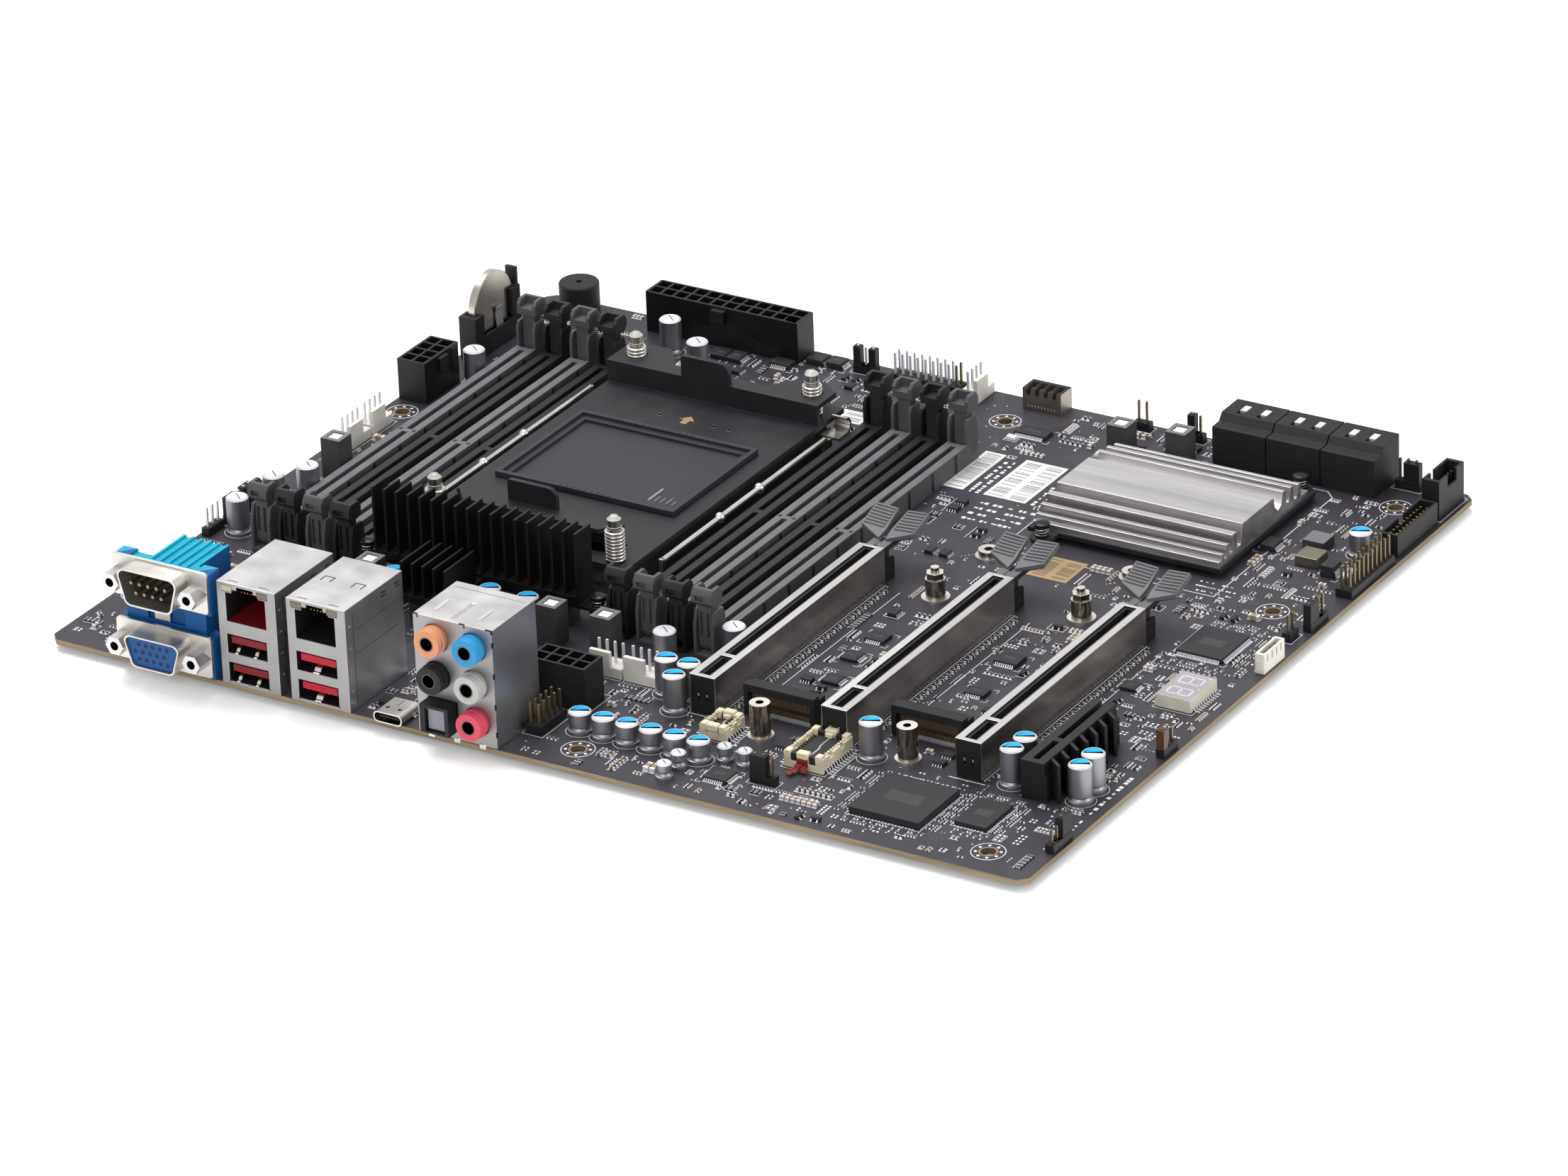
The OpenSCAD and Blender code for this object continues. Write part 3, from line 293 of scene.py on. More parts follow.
def make_looks():
    mask_look("mask", (50, 48, 54))
    # The underside's mask is a darker copy of the top's: painted shade.
    mask_look("mask_under_shade", (44, 43, 48))
    hatched_look("hatched_steel", (196, 196, 200))
    look("fr4_edge", (132, 117, 94), rough=0.75, drift=0.3, grain=2600, lift=0.5, stretch=(0.25, 0.25, 3))
    # hole_wall_shade is the plated wall's brown, darkened as painted shade of the hole's depth.
    look("hole_wall_shade", (104, 84, 64), rough=0.55, metal=0.3, drift=0.2, grain=2600)
    # Plastics, moulded with a fine texture.
    for name, colour, rough in (
            ("black_plastic", (25, 25, 27), 0.5), ("black_matte", (30, 30, 32), 0.62),
            ("black_gloss", (20, 20, 22), 0.28), ("slot_black", (27, 27, 29), 0.5),
            ("slot_grey", (96, 96, 99), 0.5), ("latch_grey", (76, 76, 79), 0.5),
            ("latch_dark", (36, 36, 39), 0.5), ("pcie_pad", (98, 98, 101), 0.52),
            ("dsub_blue", (8, 74, 132), 0.45), ("vga_blue", (12, 74, 134), 0.45),
            ("cyan", (0, 150, 178), 0.45), ("crimson", (170, 14, 36), 0.38),
            ("dark_red", (112, 16, 26), 0.45), ("jack_orange", (206, 140, 104), 0.5),
            ("jack_blue", (44, 138, 190), 0.5), ("jack_white", (170, 168, 164), 0.5),
            ("jack_pink", (202, 72, 94), 0.5), ("jack_black", (32, 32, 34), 0.5),
            ("chip_black", (38, 38, 41), 0.55), ("chip_print", (56, 56, 59), 0.6),
            ("cream", (208, 198, 172), 0.5), ("cream_white", (204, 200, 184), 0.5),
            ("white_plastic", (206, 203, 196), 0.5),
            ("digit_face", (150, 146, 152), 0.45), ("digit_lit", (196, 191, 196), 0.4),
            ("red_tab", (112, 24, 26), 0.55), ("ferrite", (58, 58, 60), 0.7),
            ("ferrite_rim", (104, 104, 106), 0.6), ("ceramic_tan", (150, 130, 104), 0.55),
            ("ceramic_brown", (104, 88, 72), 0.55), ("resistor", (30, 30, 34), 0.4),
            ("alumina", (212, 210, 206), 0.6), ("amber", (78, 54, 36), 0.3),
            ("shutter_grey", (128, 132, 138), 0.35), ("led_lens", (168, 162, 146), 0.3),
            ("lens_grey", (112, 106, 94), 0.3)):
        look(name, colour, rough, grain=2200, lift=0.12)
    # Metals.
    for name, colour, rough in (
            # front_shade_steel is a darker copy of the steel for front faces: painted shade.
            ("nickel", (226, 223, 216), 0.26), ("front_shade_steel", (158, 156, 157), 0.46),
            ("steel", (206, 204, 204), 0.34),
            ("gold", (206, 170, 98), 0.34), ("brass", (138, 125, 98), 0.4),
            # post_reflection_metal is a darker, brownish copy of the plating: a painted reflection of dark
            # surroundings.
            ("contact_brass", (92, 85, 66), 0.5), ("post_reflection_metal", (148, 140, 128), 0.18),
            ("plated", (212, 208, 202), 0.42),
            ("dark_metal", (92, 90, 88), 0.38), ("choke_tin", (132, 124, 112), 0.4),
            ("slim_shell", (150, 142, 132), 0.4)):
        look(name, colour, rough, metal=1.0, grain=1300, lift=0.08)
    look("tin", (218, 218, 222), rough=0.45, metal=0.55, grain=1300)
    look("shield_side", (164, 157, 151), rough=0.3, metal=1.0, drift=0.42, grain=620,
         stretch=(1, 0.3, 2.5))
    look("shield_top", (192, 190, 189), rough=0.42, metal=1.0, grain=1500, lift=0.2, stretch=(1, 0.08, 1))
    look("brushed_aluminium", (190, 187, 189), rough=0.38, metal=1.0, drift=0.13, grain=3200, lift=0.6,
         stretch=(0.03, 1, 1))
    look("can_side", (152, 151, 156), rough=0.44, metal=1.0, grain=1500, lift=0.15, stretch=(1, 1, 0.1))
    look("can_top", (206, 207, 211), rough=0.46, metal=0.5, grain=1500)
    look("cell_steel", (196, 190, 180), rough=0.28, metal=1.0, drift=0.2, grain=900, lift=0.2)
    look("anodised_black", (13, 13, 15), rough=0.45, grain=2600, lift=0.25, stretch=(1, 1, 0.08))
    look("plate_black", (34, 33, 37), rough=0.45, grain=1800, lift=0.15)
    look("cover_black", (45, 43, 49), rough=0.5, grain=1800, lift=0.15)
    # Prints and labels.
    look("silk", (214, 214, 218), rough=0.6, drift=0.06, grain=3000)
    look("print_blue", (24, 160, 216), rough=0.4, drift=0.12, grain=2600)
    look("print_dark", (60, 60, 64), rough=0.5, drift=0.15, grain=2600)
    look("label_white", (206, 206, 204), rough=0.55, drift=0.03, grain=1400)
    look("label_gold", (160, 136, 96), rough=0.45, metal=0.3, drift=0.12, grain=1400)
    look("label_line", (132, 132, 134), rough=0.55, drift=0.1, grain=2600)
    look("floor", (236, 236, 236), rough=0.9, drift=0.01, grain=40, lift=0.02, glow=0.22)


make_looks()


def paint(node, looks, pick=None):
    """Gives a CAD node its finishes. pick(centre, normal, solid's box) says which one a face takes."""
    mesh = frame["nodes"][node].data
    mesh.materials.clear()
    for name in looks:
        mesh.materials.append(LOOK[name])
    if pick is None:
        return
    boxes, owner = SOLIDS[node]
    for p in mesh.polygons:
        centre = (p.center - ORIGIN) / MM
        p.material_index = pick(centre, p.normal, boxes[owner[p.index]])


def soften(node, width):
    """Breaks a CAD node's hard edges with modifiers, so that they catch the light."""
    obj = frame["nodes"][node]
    bpy.context.view_layer.objects.active = obj
    bpy.ops.mesh.customdata_custom_splitnormals_clear()
    obj.data.shade_smooth()
    weld = obj.modifiers.new("weld", "WELD")
    weld.merge_threshold = 0.002 * MM
    flat = obj.modifiers.new("flat", "DECIMATE")
    flat.decimate_type, flat.angle_limit, flat.delimit = "DISSOLVE", math.radians(0.5), {"MATERIAL"}
    edge = obj.modifiers.new("edge", "BEVEL")
    edge.width, edge.segments, edge.limit_method = width * MM, 2, "ANGLE"
    edge.angle_limit, edge.harden_normals, edge.use_clamp_overlap = math.radians(40), True, False


# ---- building new pieces ----

CORNERS = [(x, y, z) for x in (0, 1) for y in (0, 1) for z in (0, 1)]


def chamfer_faces():
    """Faces of a block whose corner c has three points, 3c + axis, each lying on that axis' side."""
    faces = []
    for a in range(3):
        b, c = (a + 1) % 3, (a + 2) % 3
        for s in (0, 1):
            ring = [tuple({a: s, b: i, c: j}[k] for k in range(3))
                    for i, j in ((0, 0), (1, 0), (1, 1), (0, 1))]
            if s == 0:
                ring.reverse()
            faces.append([3 * CORNERS.index(r) + a for r in ring])
        for i in (0, 1):
            for j in (0, 1):
                ends = [3 * CORNERS.index(tuple({a: s, b: i, c: j}[k] for k in range(3))) for s in (0, 1)]
                quad = [ends[0] + b, ends[1] + b, ends[1] + c, ends[0] + c]
                faces.append(quad if i != j else quad[::-1])
    for n, c in enumerate(CORNERS):
        tri = [3 * n, 3 * n + 1, 3 * n + 2]
        faces.append(tri if sum(c) % 2 else tri[::-1])
    return faces


CHAMFERED = chamfer_faces()


class Piece:
    """Collects the faces of one piece, with a finish for each, in board millimetres.

    self.turn places what is added next."""

    def __init__(self):
        self.points, self.faces, self.index, self.looks = [], [], [], {}
        self.home()

    def home(self):
        """What is added next takes its values straight in board millimetres."""
        self.turn = Matrix.Identity(4)
        return self

    def at(self, x=0.0, y=0.0, z=0.0, turn=0.0, axis="Z"):
        """Places what is added next: turned about an axis through its own origin, then moved."""
        self.turn = Matrix.Translation((x, y, z)) @ Matrix.Rotation(math.radians(turn), 4, axis)
        return self

    def add(self, points, faces, name):
        start = len(self.points)
        self.points += [self.turn @ Vector(p) for p in points]
        self.faces += [[i + start for i in f] for f in faces]
        self.index += [self.looks.setdefault(name, len(self.looks))] * len(faces)

    def block(self, x, y, z, name, cut=0.0):
        """A block between two values on each axis, with its edges cut."""
        spans = [sorted(s) for s in (x, y, z)]
        cut = max(0.004, min(cut, *(size(s) / 2.5 for s in spans)))
        points = []
        for c in CORNERS:
            for a in range(3):
                points.append([spans[k][c[k]] + (0 if k == a else cut * (1 - 2 * c[k])) for k in range(3)])
        self.add(points, CHAMFERED, name)

    def twins(self, middle, x, y, z, name, cut=0.0):
        """A block and its mirror image: x is the span's distance from a middle plane."""
        for s in (-1, 1):
            self.block((middle + s * x[0], middle + s * x[1]), y, z, name, cut)

    def lathe(self, profile, name, sides=20):
        """Turns a profile of (radius, height) about the piece's own Z, from its first point to its last."""
        points, faces, rings = [], [], []
        for r, h in profile:
            if r < 1e-6:
                rings.append([len(points)] * sides)
                points.append((0, 0, h))
            else:
                rings.append(range(len(points), len(points) + sides))
                points += [(r * math.cos(2 * math.pi * k / sides), r * math.sin(2 * math.pi * k / sides), h)
                           for k in range(sides)]
        for low, high in zip(rings, rings[1:]):
            for k in range(sides):
                n = (k + 1) % sides
                face = list(dict.fromkeys((low[k], low[n], high[n], high[k])))
                if len(face) > 2:
                    faces.append(face)
        for ring, flip in ((rings[0], True), (rings[-1], False)):
            if len(set(ring)) > 1:
                faces.append(list(ring)[::-1] if flip else list(ring))
        self.add(points, faces, name)

    def skin(self, rings, name, closed=False):
        """Joins rings of points one after another, and caps the two ends."""
        k, n = len(rings[0]), len(rings)
        after = list(range(1, n)) + [0] * closed
        faces = [(a * k + i, a * k + (i + 1) % k, b * k + (i + 1) % k, b * k + i)
                 for a, b in zip(range(n), after) for i in range(k)]
        if not closed:
            faces += [range(k)[::-1], range((n - 1) * k, n * k)]
        self.add([p for ring in rings for p in ring], faces, name)

    def prism(self, path, z, name):
        """An upright prism over an outline that runs anticlockwise."""
        self.skin([[(x, y, h) for x, y in path] for h in z], name)

    def tube(self, path, r, name, sides=6):
        """A round wire along a path."""
        path = [Vector(p) for p in path]
        side, rings = None, []
        for i, p in enumerate(path):
            ahead = (path[min(i + 1, len(path) - 1)] - path[max(i - 1, 0)]).normalized()
            if side is None:
                side = ahead.orthogonal().normalized()
            side = (side - ahead * side.dot(ahead)).normalized()
            other = ahead.cross(side)
            rings.append([p + r * (math.cos(a) * side + math.sin(a) * other)
                          for a in (2 * math.pi * k / sides for k in range(sides))])
        self.skin(rings, name)

    def band(self, path, width, z, name, closed=False):
        """A flat printed line or bent strip in the board's plane, mitred at its bends."""
        n = len(path)
        rings = []
        for i, (x, y) in enumerate(path):
            before = path[i - 1] if i or closed else None
            after = path[(i + 1) % n] if i < n - 1 or closed else None
            d = [Vector((b[0] - a[0], b[1] - a[1])).normalized()
                 for a, b in ((before, (x, y)), ((x, y), after)) if a is not None and b is not None]
            along = sum(d, Vector((0, 0))).normalized()
            out = Vector((-along.y, along.x)) * width / 2 / max(0.3, along.dot(d[0]))
            rings.append([(x + out.x, y + out.y, z[0]), (x - out.x, y - out.y, z[0]),
                          (x - out.x, y - out.y, z[1]), (x + out.x, y + out.y, z[1])])
        self.skin(rings, name, closed)

    def lead(self, profile, width, thick, name):
        """A flat bent lead: profile is its path as (outward, height) in the piece's own X and Z."""
        rings = []
        for i, (x, z) in enumerate(profile):
            a, b = profile[max(i - 1, 0)], profile[min(i + 1, len(profile) - 1)]
            d = Vector((b[0] - a[0], b[1] - a[1])).normalized() * thick / 2
            rings.append([(x + d.y, -width / 2, z - d.x), (x + d.y, width / 2, z - d.x),
                          (x - d.y, width / 2, z + d.x), (x - d.y, -width / 2, z + d.x)])
        self.skin(rings, name)

    def line(self, path, width, closed=False):
        """A printed line on the board's top."""
        self.band(path, width, INK, "silk", closed)

    def make(self, name, body="board"):
        mesh = bpy.data.meshes.new(name)
        mesh.from_pydata([ORIGIN + p * MM for p in self.points], [], self.faces)
        for look_name in self.looks:
            mesh.materials.append(LOOK[look_name])
        mesh.polygons.foreach_set("material_index", self.index)
        mesh.shade_smooth()
        mesh.set_sharp_from_angle(angle=math.radians(38))
        mesh.validate()
        obj = bpy.data.objects.new(name, mesh)
        bpy.context.scene.collection.objects.link(obj)
        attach(obj, body)
        return obj


def circle(x, y, r, n=24, start=0.0):
    return [(x + r * math.cos(start + 2 * math.pi * k / n), y + r * math.sin(start + 2 * math.pi * k / n))
            for k in range(n)]


# ---- finishes of the CAD pieces ----

# CAD pieces with one finish all over
PLAIN = {
    "solder_tails": "tin", "dsub_shells": "plated", "spdif_port": "black_plastic",
    "spdif_shutter": "shutter_grey", "dimm_slots_black": "slot_black", "pcie_slots": "black_plastic",
    "cpu_socket": "black_matte", "cpu_backplate": "dark_metal", "bolster_plate": "plate_black",
    "bolster_springs": "nickel", "load_studs": "nickel", "socket_cover": "cover_black",
    "vrm_heatsink": "anodised_black", "push_pins": "black_gloss", "sata_ports": "black_matte",
    "buzzer": "black_matte", "battery_holder": "black_plastic", "coin_cell": "cell_steel",
    "fan_headers": "white_plastic", "m2_connectors": "black_matte", "chips": "chip_black",
    "rom_sockets": "cream"}
STACKS = boxes_of("port_cores")
JACKS = boxes_of("audio_jacks")
JACK_LOOKS = ["jack_orange", "jack_blue", "jack_black", "jack_white", "jack_pink"]
PALE_SOCKET = max(boxes_of("header_bases"), key=lambda b: b[0][1])


def jack_look(box):
    """Which finish a jack has: the left column holds two jacks, the right one three, 11 mm apart."""
    left, high = min(mid(b[0]) for b in JACKS), max(mid(b[2]) for b in JACKS)
    row = round((high - mid(box[2])) / 11)
    return (0, 2)[row] if mid(box[0]) < left + 5 else (1, 3, 4)[row]


def off_axis(c, box):
    """How far a point is from the middle line of a round port."""
    return math.hypot(c.x - mid(box[0]), c.z - mid(box[2]))


def dress_board():
    def pick(c, n, box):
        if abs(n.z) > 0.5:
            # Upward faces take the mask, downward faces its darker copy as painted shade.
            return 0 if n.z > 0 else 1
        # Hole walls take hole_wall_shade: wall colour with painted shade; outer edges take fr4_edge.
        return 3 if all(s[0] + 2.6 < v < s[1] - 2.6 for v, s in zip(c, BOARD[:2])) else 2
    paint("pcb", ["mask", "mask_under_shade", "fr4_edge", "hole_wall_shade"], pick)


def dress_rear_ports():
    x, y, z = mm_box("dsub_housing")

    def housing(c, n, box):
        outer = abs(n.x) > 0.5 and min(c.x - x[0], x[1] - c.x) < 0.3
        if c.z > z[1] - 3.2 and c.y > 1.2 and not outer:
            return 1
        return (2 if c.z < mid(z) else 3) if c.y < -1.2 else 0
    paint("dsub_housing", ["dsub_blue", "cyan", "vga_blue", "black_plastic"], housing)
    screws = mm_box("dsub_jackscrews")[1]
    # The jackscrews' threaded bores are black: painted shade in the holes.
    paint("dsub_jackscrews", ["steel", "black_gloss"],
          lambda c, n, box: int(off_axis(c, box) < 1.45 and c.y > screws[0] + 0.2))
    # The shells' front faces take the darker copy of the steel: painted shade.
    paint("lan_usb_shells", ["steel", "front_shade_steel"], lambda c, n, box: int(n.y < -0.5))

    def core(c, n, box):
        inside = box[0][0] + 2 < c.x < box[0][1] - 2 and 1 < c.y < 14.5
        return int(box == STACKS[0] and inside and c.z > 19 and (n.z > 0.5 or n.y < -0.5))
    paint("port_cores", ["black_plastic", "dark_red"], core)
    paint("usb_tongues", ["dark_red", "crimson", "black_gloss"],
          lambda c, n, box: 2 if box[0][0] > STACKS[1][0][1] else int(box[0][0] > STACKS[1][0][0]))
    # The slim port stands beyond the middle of the board.
    paint("usb_c_and_slim_ports", ["nickel", "black_plastic", "slim_shell"],
          lambda c, n, box: 0 if mid(box[1]) < mid(BOARD[1]) else 1 if abs(n.z) > 0.5 else 2)
    side = mm_box("audio_shell")[0][1]
    # The audio shell's front face takes the darker copy of the steel: painted shade.
    paint("audio_shell", ["steel", "hatched_steel", "front_shade_steel"],
          lambda c, n, box: 1 if n.x > 0.5 and c.x > side - 0.2 else 2 if n.y < -0.5 else 0)
    paint("audio_jacks", JACK_LOOKS + ["black_gloss"],
          lambda c, n, box: 5 if off_axis(c, box) < 2.0 and abs(n.y) < 0.7 else jack_look(box))


def dress_slots():
    paint("dimm_slots_grey", ["slot_grey", "latch_grey"], lambda c, n, box: int(n.z <= 0.5))
    greys = [mid(b[0]) for b in boxes_of("dimm_slots_grey")]
    for node in frame["nodes"]:
        if node.startswith("dimm_latch"):
            grey = any(abs(mid(mm_box(node)[0]) - x) < 1 for x in greys)
            paint(node, ["latch_grey" if grey else "latch_dark"])
        elif node.startswith("pcie_latch"):
            paint(node, ["pcie_pad", "latch_dark"], lambda c, n, box: int(c.z <= 12 and n.z <= 0.6))
    paint("pcie_shields", ["shield_side", "shield_top"], lambda c, n, box: int(n.z > 0.5))


def dress_heatsink():
    """Bare metal above a dark base plate 1.5 mm thick."""
    base = mm_box("chipset_heatsink")[2][0]
    paint("chipset_heatsink", ["brushed_aluminium", "black_matte"],
          lambda c, n, box: int(c.z < base + 1.5 and not (n.z > 0.5 and c.z > base + 1.45)))


def dress_connectors():
    def cell(c, n, box):
        inner = all(s[0] < v < s[1] for v, s in zip(c, (grown(box[0], -0.3), grown(box[1], -0.3))))
        return int(5.9 < c.z < 14 and abs(n.z) < 0.9 and inner)
    paint("power_connectors", ["black_plastic", "black_gloss"], cell)
    paint("capacitors", ["can_side", "can_top"], lambda c, n, box: int(n.z > 0.6 and c.z > box[2][1] - 0.5))

    def choke(c, n, box):
        flat, tall = size(box[2]) < 5, size(box[2]) > 9
        if flat and mid(box[1]) < 200:
            return 3
        if n.z < 0.5:
            return 0
        inside = max(abs(c.x - mid(box[0])), abs(c.y - mid(box[1]))) < 1.5
        return 2 if tall and inside and c.z < box[2][1] - 0.2 else int(flat or tall)
    paint("chokes", ["ferrite", "ferrite_rim", "alumina", "choke_tin"], choke)
    # The jumper caps by the middle of the board's right edge are amber.
    capped = [b for b in boxes_of("header_bases") if b[0][0] > 300 and b[1][1] < 90 and b[1][0] > 60]
    paint("header_bases", ["black_plastic", "white_plastic", "amber"],
          lambda c, n, box: 1 if box == PALE_SOCKET else 2 if box in capped and c.z > TOP + 2.6 else 0)
    fans = boxes_of("fan_headers")

    def pin(c, n, box):
        in_fan = any(f[0][0] < mid(box[0]) < f[0][1] and f[1][0] < mid(box[1]) < f[1][1] for f in fans)
        return int((mid(box[0]) < 140 or in_fan) and box[1][0] > 0)
    paint("header_pins", ["brass", "tin"], pin)
    # Standoff sides above the board take the darker metal, a painted reflection; their ends stay plated.
    paint("m2_standoffs", ["plated", "post_reflection_metal"],
          lambda c, n, box: int(abs(n.z) < 0.7 and c.z > TOP + 0.85))
    paint("post_display", ["cream_white", "digit_face"], lambda c, n, box: int(n.z > 0.5))


for cad_node, finish in PLAIN.items():
    paint(cad_node, [finish])
dress_board()
dress_rear_ports()
dress_slots()
dress_heatsink()
dress_connectors()

# Width of the broken edges of each CAD piece
SOFT = {
    "lan_usb_shells": 0.2, "audio_shell": 0.25, "dsub_shells": 0.12, "dsub_housing": 0.15,
    "dimm_slots_grey": 0.14, "dimm_slots_black": 0.14, "pcie_shields": 0.15, "pcie_slots": 0.1,
    "bolster_plate": 0.15, "socket_cover": 0.15, "vrm_heatsink": 0.12, "chipset_heatsink": 0.15,
    "power_connectors": 0.12, "sata_ports": 0.18, "chokes": 0.2, "battery_holder": 0.2,
    "header_bases": 0.1, "fan_headers": 0.12, "chips": 0.12, "rom_sockets": 0.12, "post_display": 0.15,
    "m2_connectors": 0.1, "cpu_socket": 0.2, "cpu_backplate": 0.15, "spdif_port": 0.2, "usb_tongues": 0.1,
    "pcb": 0.06}
SOFT.update({node: 0.12 for node in frame["nodes"] if "latch" in node})
for cad_node, edge_width in SOFT.items():
    soften(cad_node, edge_width)


# ---- which parts of the board's top are taken ----

TAKEN = {}
BUCKET = 8


def buckets(x, y):
    """The squares of the lookup grid that a rectangle touches."""
    return [(i, j) for i in range(int(x[0] // BUCKET), int(x[1] // BUCKET) + 1)
            for j in range(int(y[0] // BUCKET), int(y[1] // BUCKET) + 1)]


def take(x, y, margin=0.3):
    box = (grown(x, margin), grown(y, margin))
    for b in buckets(*box):
        TAKEN.setdefault(b, []).append(box)


def is_free(x, y):
    inside = all(s[0] + 1.6 < v[0] and v[1] < s[1] - 1.6 for v, s in zip((x, y), BOARD))
    return inside and not any(x[0] < b[0][1] and b[0][0] < x[1] and y[0] < b[1][1] and b[1][0] < y[1]
                              for k in buckets(x, y) for b in TAKEN.get(k, ()))


def take_frame():
    """Marks the feet of the CAD pieces that stand on the board or close above it."""
    for node, (boxes, _) in SOLIDS.items():
        if node in ("pcb", "solder_tails", "cpu_backplate"):
            continue
        for x, y, z in boxes:
            if z[0] < TOP + 2.6 or "bolster" in node or "heatsink" in node:
                take(x, y, 0.5)


# Standard places of the mounting holes
HOLES = [(288.29, 10.16), (163.83, 10.16), (288.29, 165.1), (288.29, 237.49),
         (163.83, 237.49), (6.35, 165.1), (6.35, 33.02), (6.35, 237.49)]
# Height span of printed lines
INK = (TOP, TOP + 0.03)


def hole_rings():
    """A printed ring, eight plated dots and a bare inner ring round each mounting hole."""
    rings = Piece()
    for x, y in HOLES:
        rings.home().line(circle(x, y, 4.55, 40), 0.22, closed=True)
        rings.band(circle(x, y, 2.35, 28), 0.5, (TOP, TOP + 0.02), "fr4_edge", closed=True)
        for dx, dy in circle(0, 0, 3.35, 8, math.pi / 8):
            rings.at(x + dx, y + dy, TOP).lathe([(0.46, 0), (0.44, 0.05), (0.3, 0.1), (0, 0.12)], "tin", 10)
        take(about(x, 4.6), about(y, 4.6))
    rings.make("mounting_rings")


# ---- small surface parts ----

# A gull-wing lead's path: outward, height
LEAD_SHAPE = [(-0.1, 0.55), (0.22, 0.55), (0.42, 0.1), (0.95, 0.1)]


def small_leg(parts, base, x, y, turn, width):
    """One leg of a small package that stands at base."""
    parts.turn = base @ Matrix.Translation((x, y, 0)) @ Matrix.Rotation(math.radians(turn), 4, "Z")
    parts.lead([(a * 0.8, b) for a, b in LEAD_SHAPE], width, 0.12, "tin")
    parts.turn = base


def two_ended(parts, length, width, height, body):
    """A ceramic capacitor or resistor: a body between two plated ends, on two soldered pads."""
    half = width / 2
    parts.block(about(0, length * 0.36), about(0, half), (0.04, height), body, 0.05)
    for s in (-1, 1):
        end, pad = s * length / 2, s * (length / 2 + 0.25)
        parts.block((end, s * length * 0.27), about(0, half + 0.02), (0.02, height + 0.03), "tin", 0.08)
        parts.block((pad, s * length * 0.25), about(0, half + 0.1), (0, 0.12), "tin", 0.06)


def transistor(parts, length, width, height, body):
    """A small three-legged package."""
    parts.block(about(0, length / 2), about(0, width / 2), (0.1, height), body, 0.12)
    for x, side in ((-length * 0.32, -1), (length * 0.32, -1), (0, 1)):
        small_leg(parts, parts.turn.copy(), x, side * width / 2, 90 * side, 0.42)


def many_ended(parts, length, width, height, body):
    """A pack of four resistors with plated half-round ends on both sides."""
    parts.block(about(0, length / 2), about(0, width / 2), (0.03, height), body, 0.05)
    for x in ((i - 1.5) * length / 4 for i in range(4)):
        for s in (-1, 1):
            end = (s * width * 0.32, s * (width / 2 + 0.14))
            parts.block(about(x, 0.13), end, (0, height + 0.02), "tin", 0.05)


def small_package(parts, length, width, height, body):
    """A package with gull-wing leads on its two long sides."""
    parts.block(about(0, length / 2), about(0, width / 2), (0.12, height), body, 0.1)
    for x in ((i - 1.5) * length / 4.2 for i in range(4)):
        for s in (-1, 1):
            small_leg(parts, parts.turn.copy(), x, s * width / 2, 90 * s, 0.3)


def bare_pads(parts, length, width, height, body):
    """Pads with nothing fitted."""
    parts.twins(0, (length / 2, length * 0.16), about(0, width / 2), (0, 0.1), "tin", 0.05)


def can_crystal(parts, length, width, height, body):
    """A low metal can on a ceramic base."""
    parts.block(about(0, length / 2), about(0, width / 2), (0, height * 0.5), "alumina", 0.08)
    parts.block(about(0, length / 2 - 0.2), about(0, width / 2 - 0.2), (height * 0.5, height), body, 0.15)


# Maker, length, width, height, finish, how common
KINDS = [
    (two_ended, 1.0, 0.5, 0.5, "ceramic_tan", 12), (two_ended, 1.0, 0.5, 0.35, "resistor", 34),
    (two_ended, 1.6, 0.8, 0.8, "ceramic_brown", 9), (two_ended, 1.6, 0.8, 0.45, "resistor", 13),
    (two_ended, 2.0, 1.25, 1.1, "ceramic_tan", 6), (two_ended, 3.2, 1.6, 1.4, "ceramic_tan", 2),
    (transistor, 2.9, 1.3, 1.0, "chip_black", 7), (many_ended, 2.0, 1.0, 0.45, "resistor", 7),
    (small_package, 3.4, 2.6, 1.1, "chip_black", 4), (bare_pads, 1.8, 0.7, 0.1, "tin", 14),
    (can_crystal, 3.2, 2.5, 0.9, "tin", 1), (two_ended, 1.6, 0.8, 0.6, "led_lens", 2)]


# Room that a package's legs take beside it
LEG_ROOM = 1.5


def row_of_parts(parts, ink, zone):
    """One row of like parts in a zone, side by side, with a printed line or frame beside some rows."""
    draw, length, width, height, finish, _ = rng.choices(KINDS, [k[5] for k in KINDS])[0]
    count = rng.choice((1, 1, 2, 2, 3, 4, 5, 7)) if length < 2.5 else rng.choice((1, 1, 2))
    across = rng.random() < 0.5
    legged = draw in (small_package, transistor)
    step = width + rng.choice((0.4, 0.55, 0.8)) + (LEG_ROOM if legged else 0)
    along, wide = count * step, length + 0.7 + (LEG_ROOM - 0.1 if legged and not across else 0)
    w, h = (along, wide) if across else (wide, along)
    x, y = rng.uniform(*zone[0]), rng.uniform(*zone[1])
    if not is_free((x, x + w), (y, y + h)):
        return
    take((x, x + w), (y, y + h), 0.15)
    for i in range(count):
        a = (i + 0.5) * step
        px, py = (x + a, y + h / 2) if across else (x + w / 2, y + a)
        parts.at(px, py, TOP, 90 if across else 0)
        draw(parts, length, width, height, finish)
    dice = rng.random()
    if dice < 0.16:
        ink.line(outline((x, x + w), (y, y + h)), 0.14, closed=True)
    elif dice < 0.5:
        ink.line([(x, y), (x + w, y)] if across else [(x, y), (x, y + h)], 0.16)


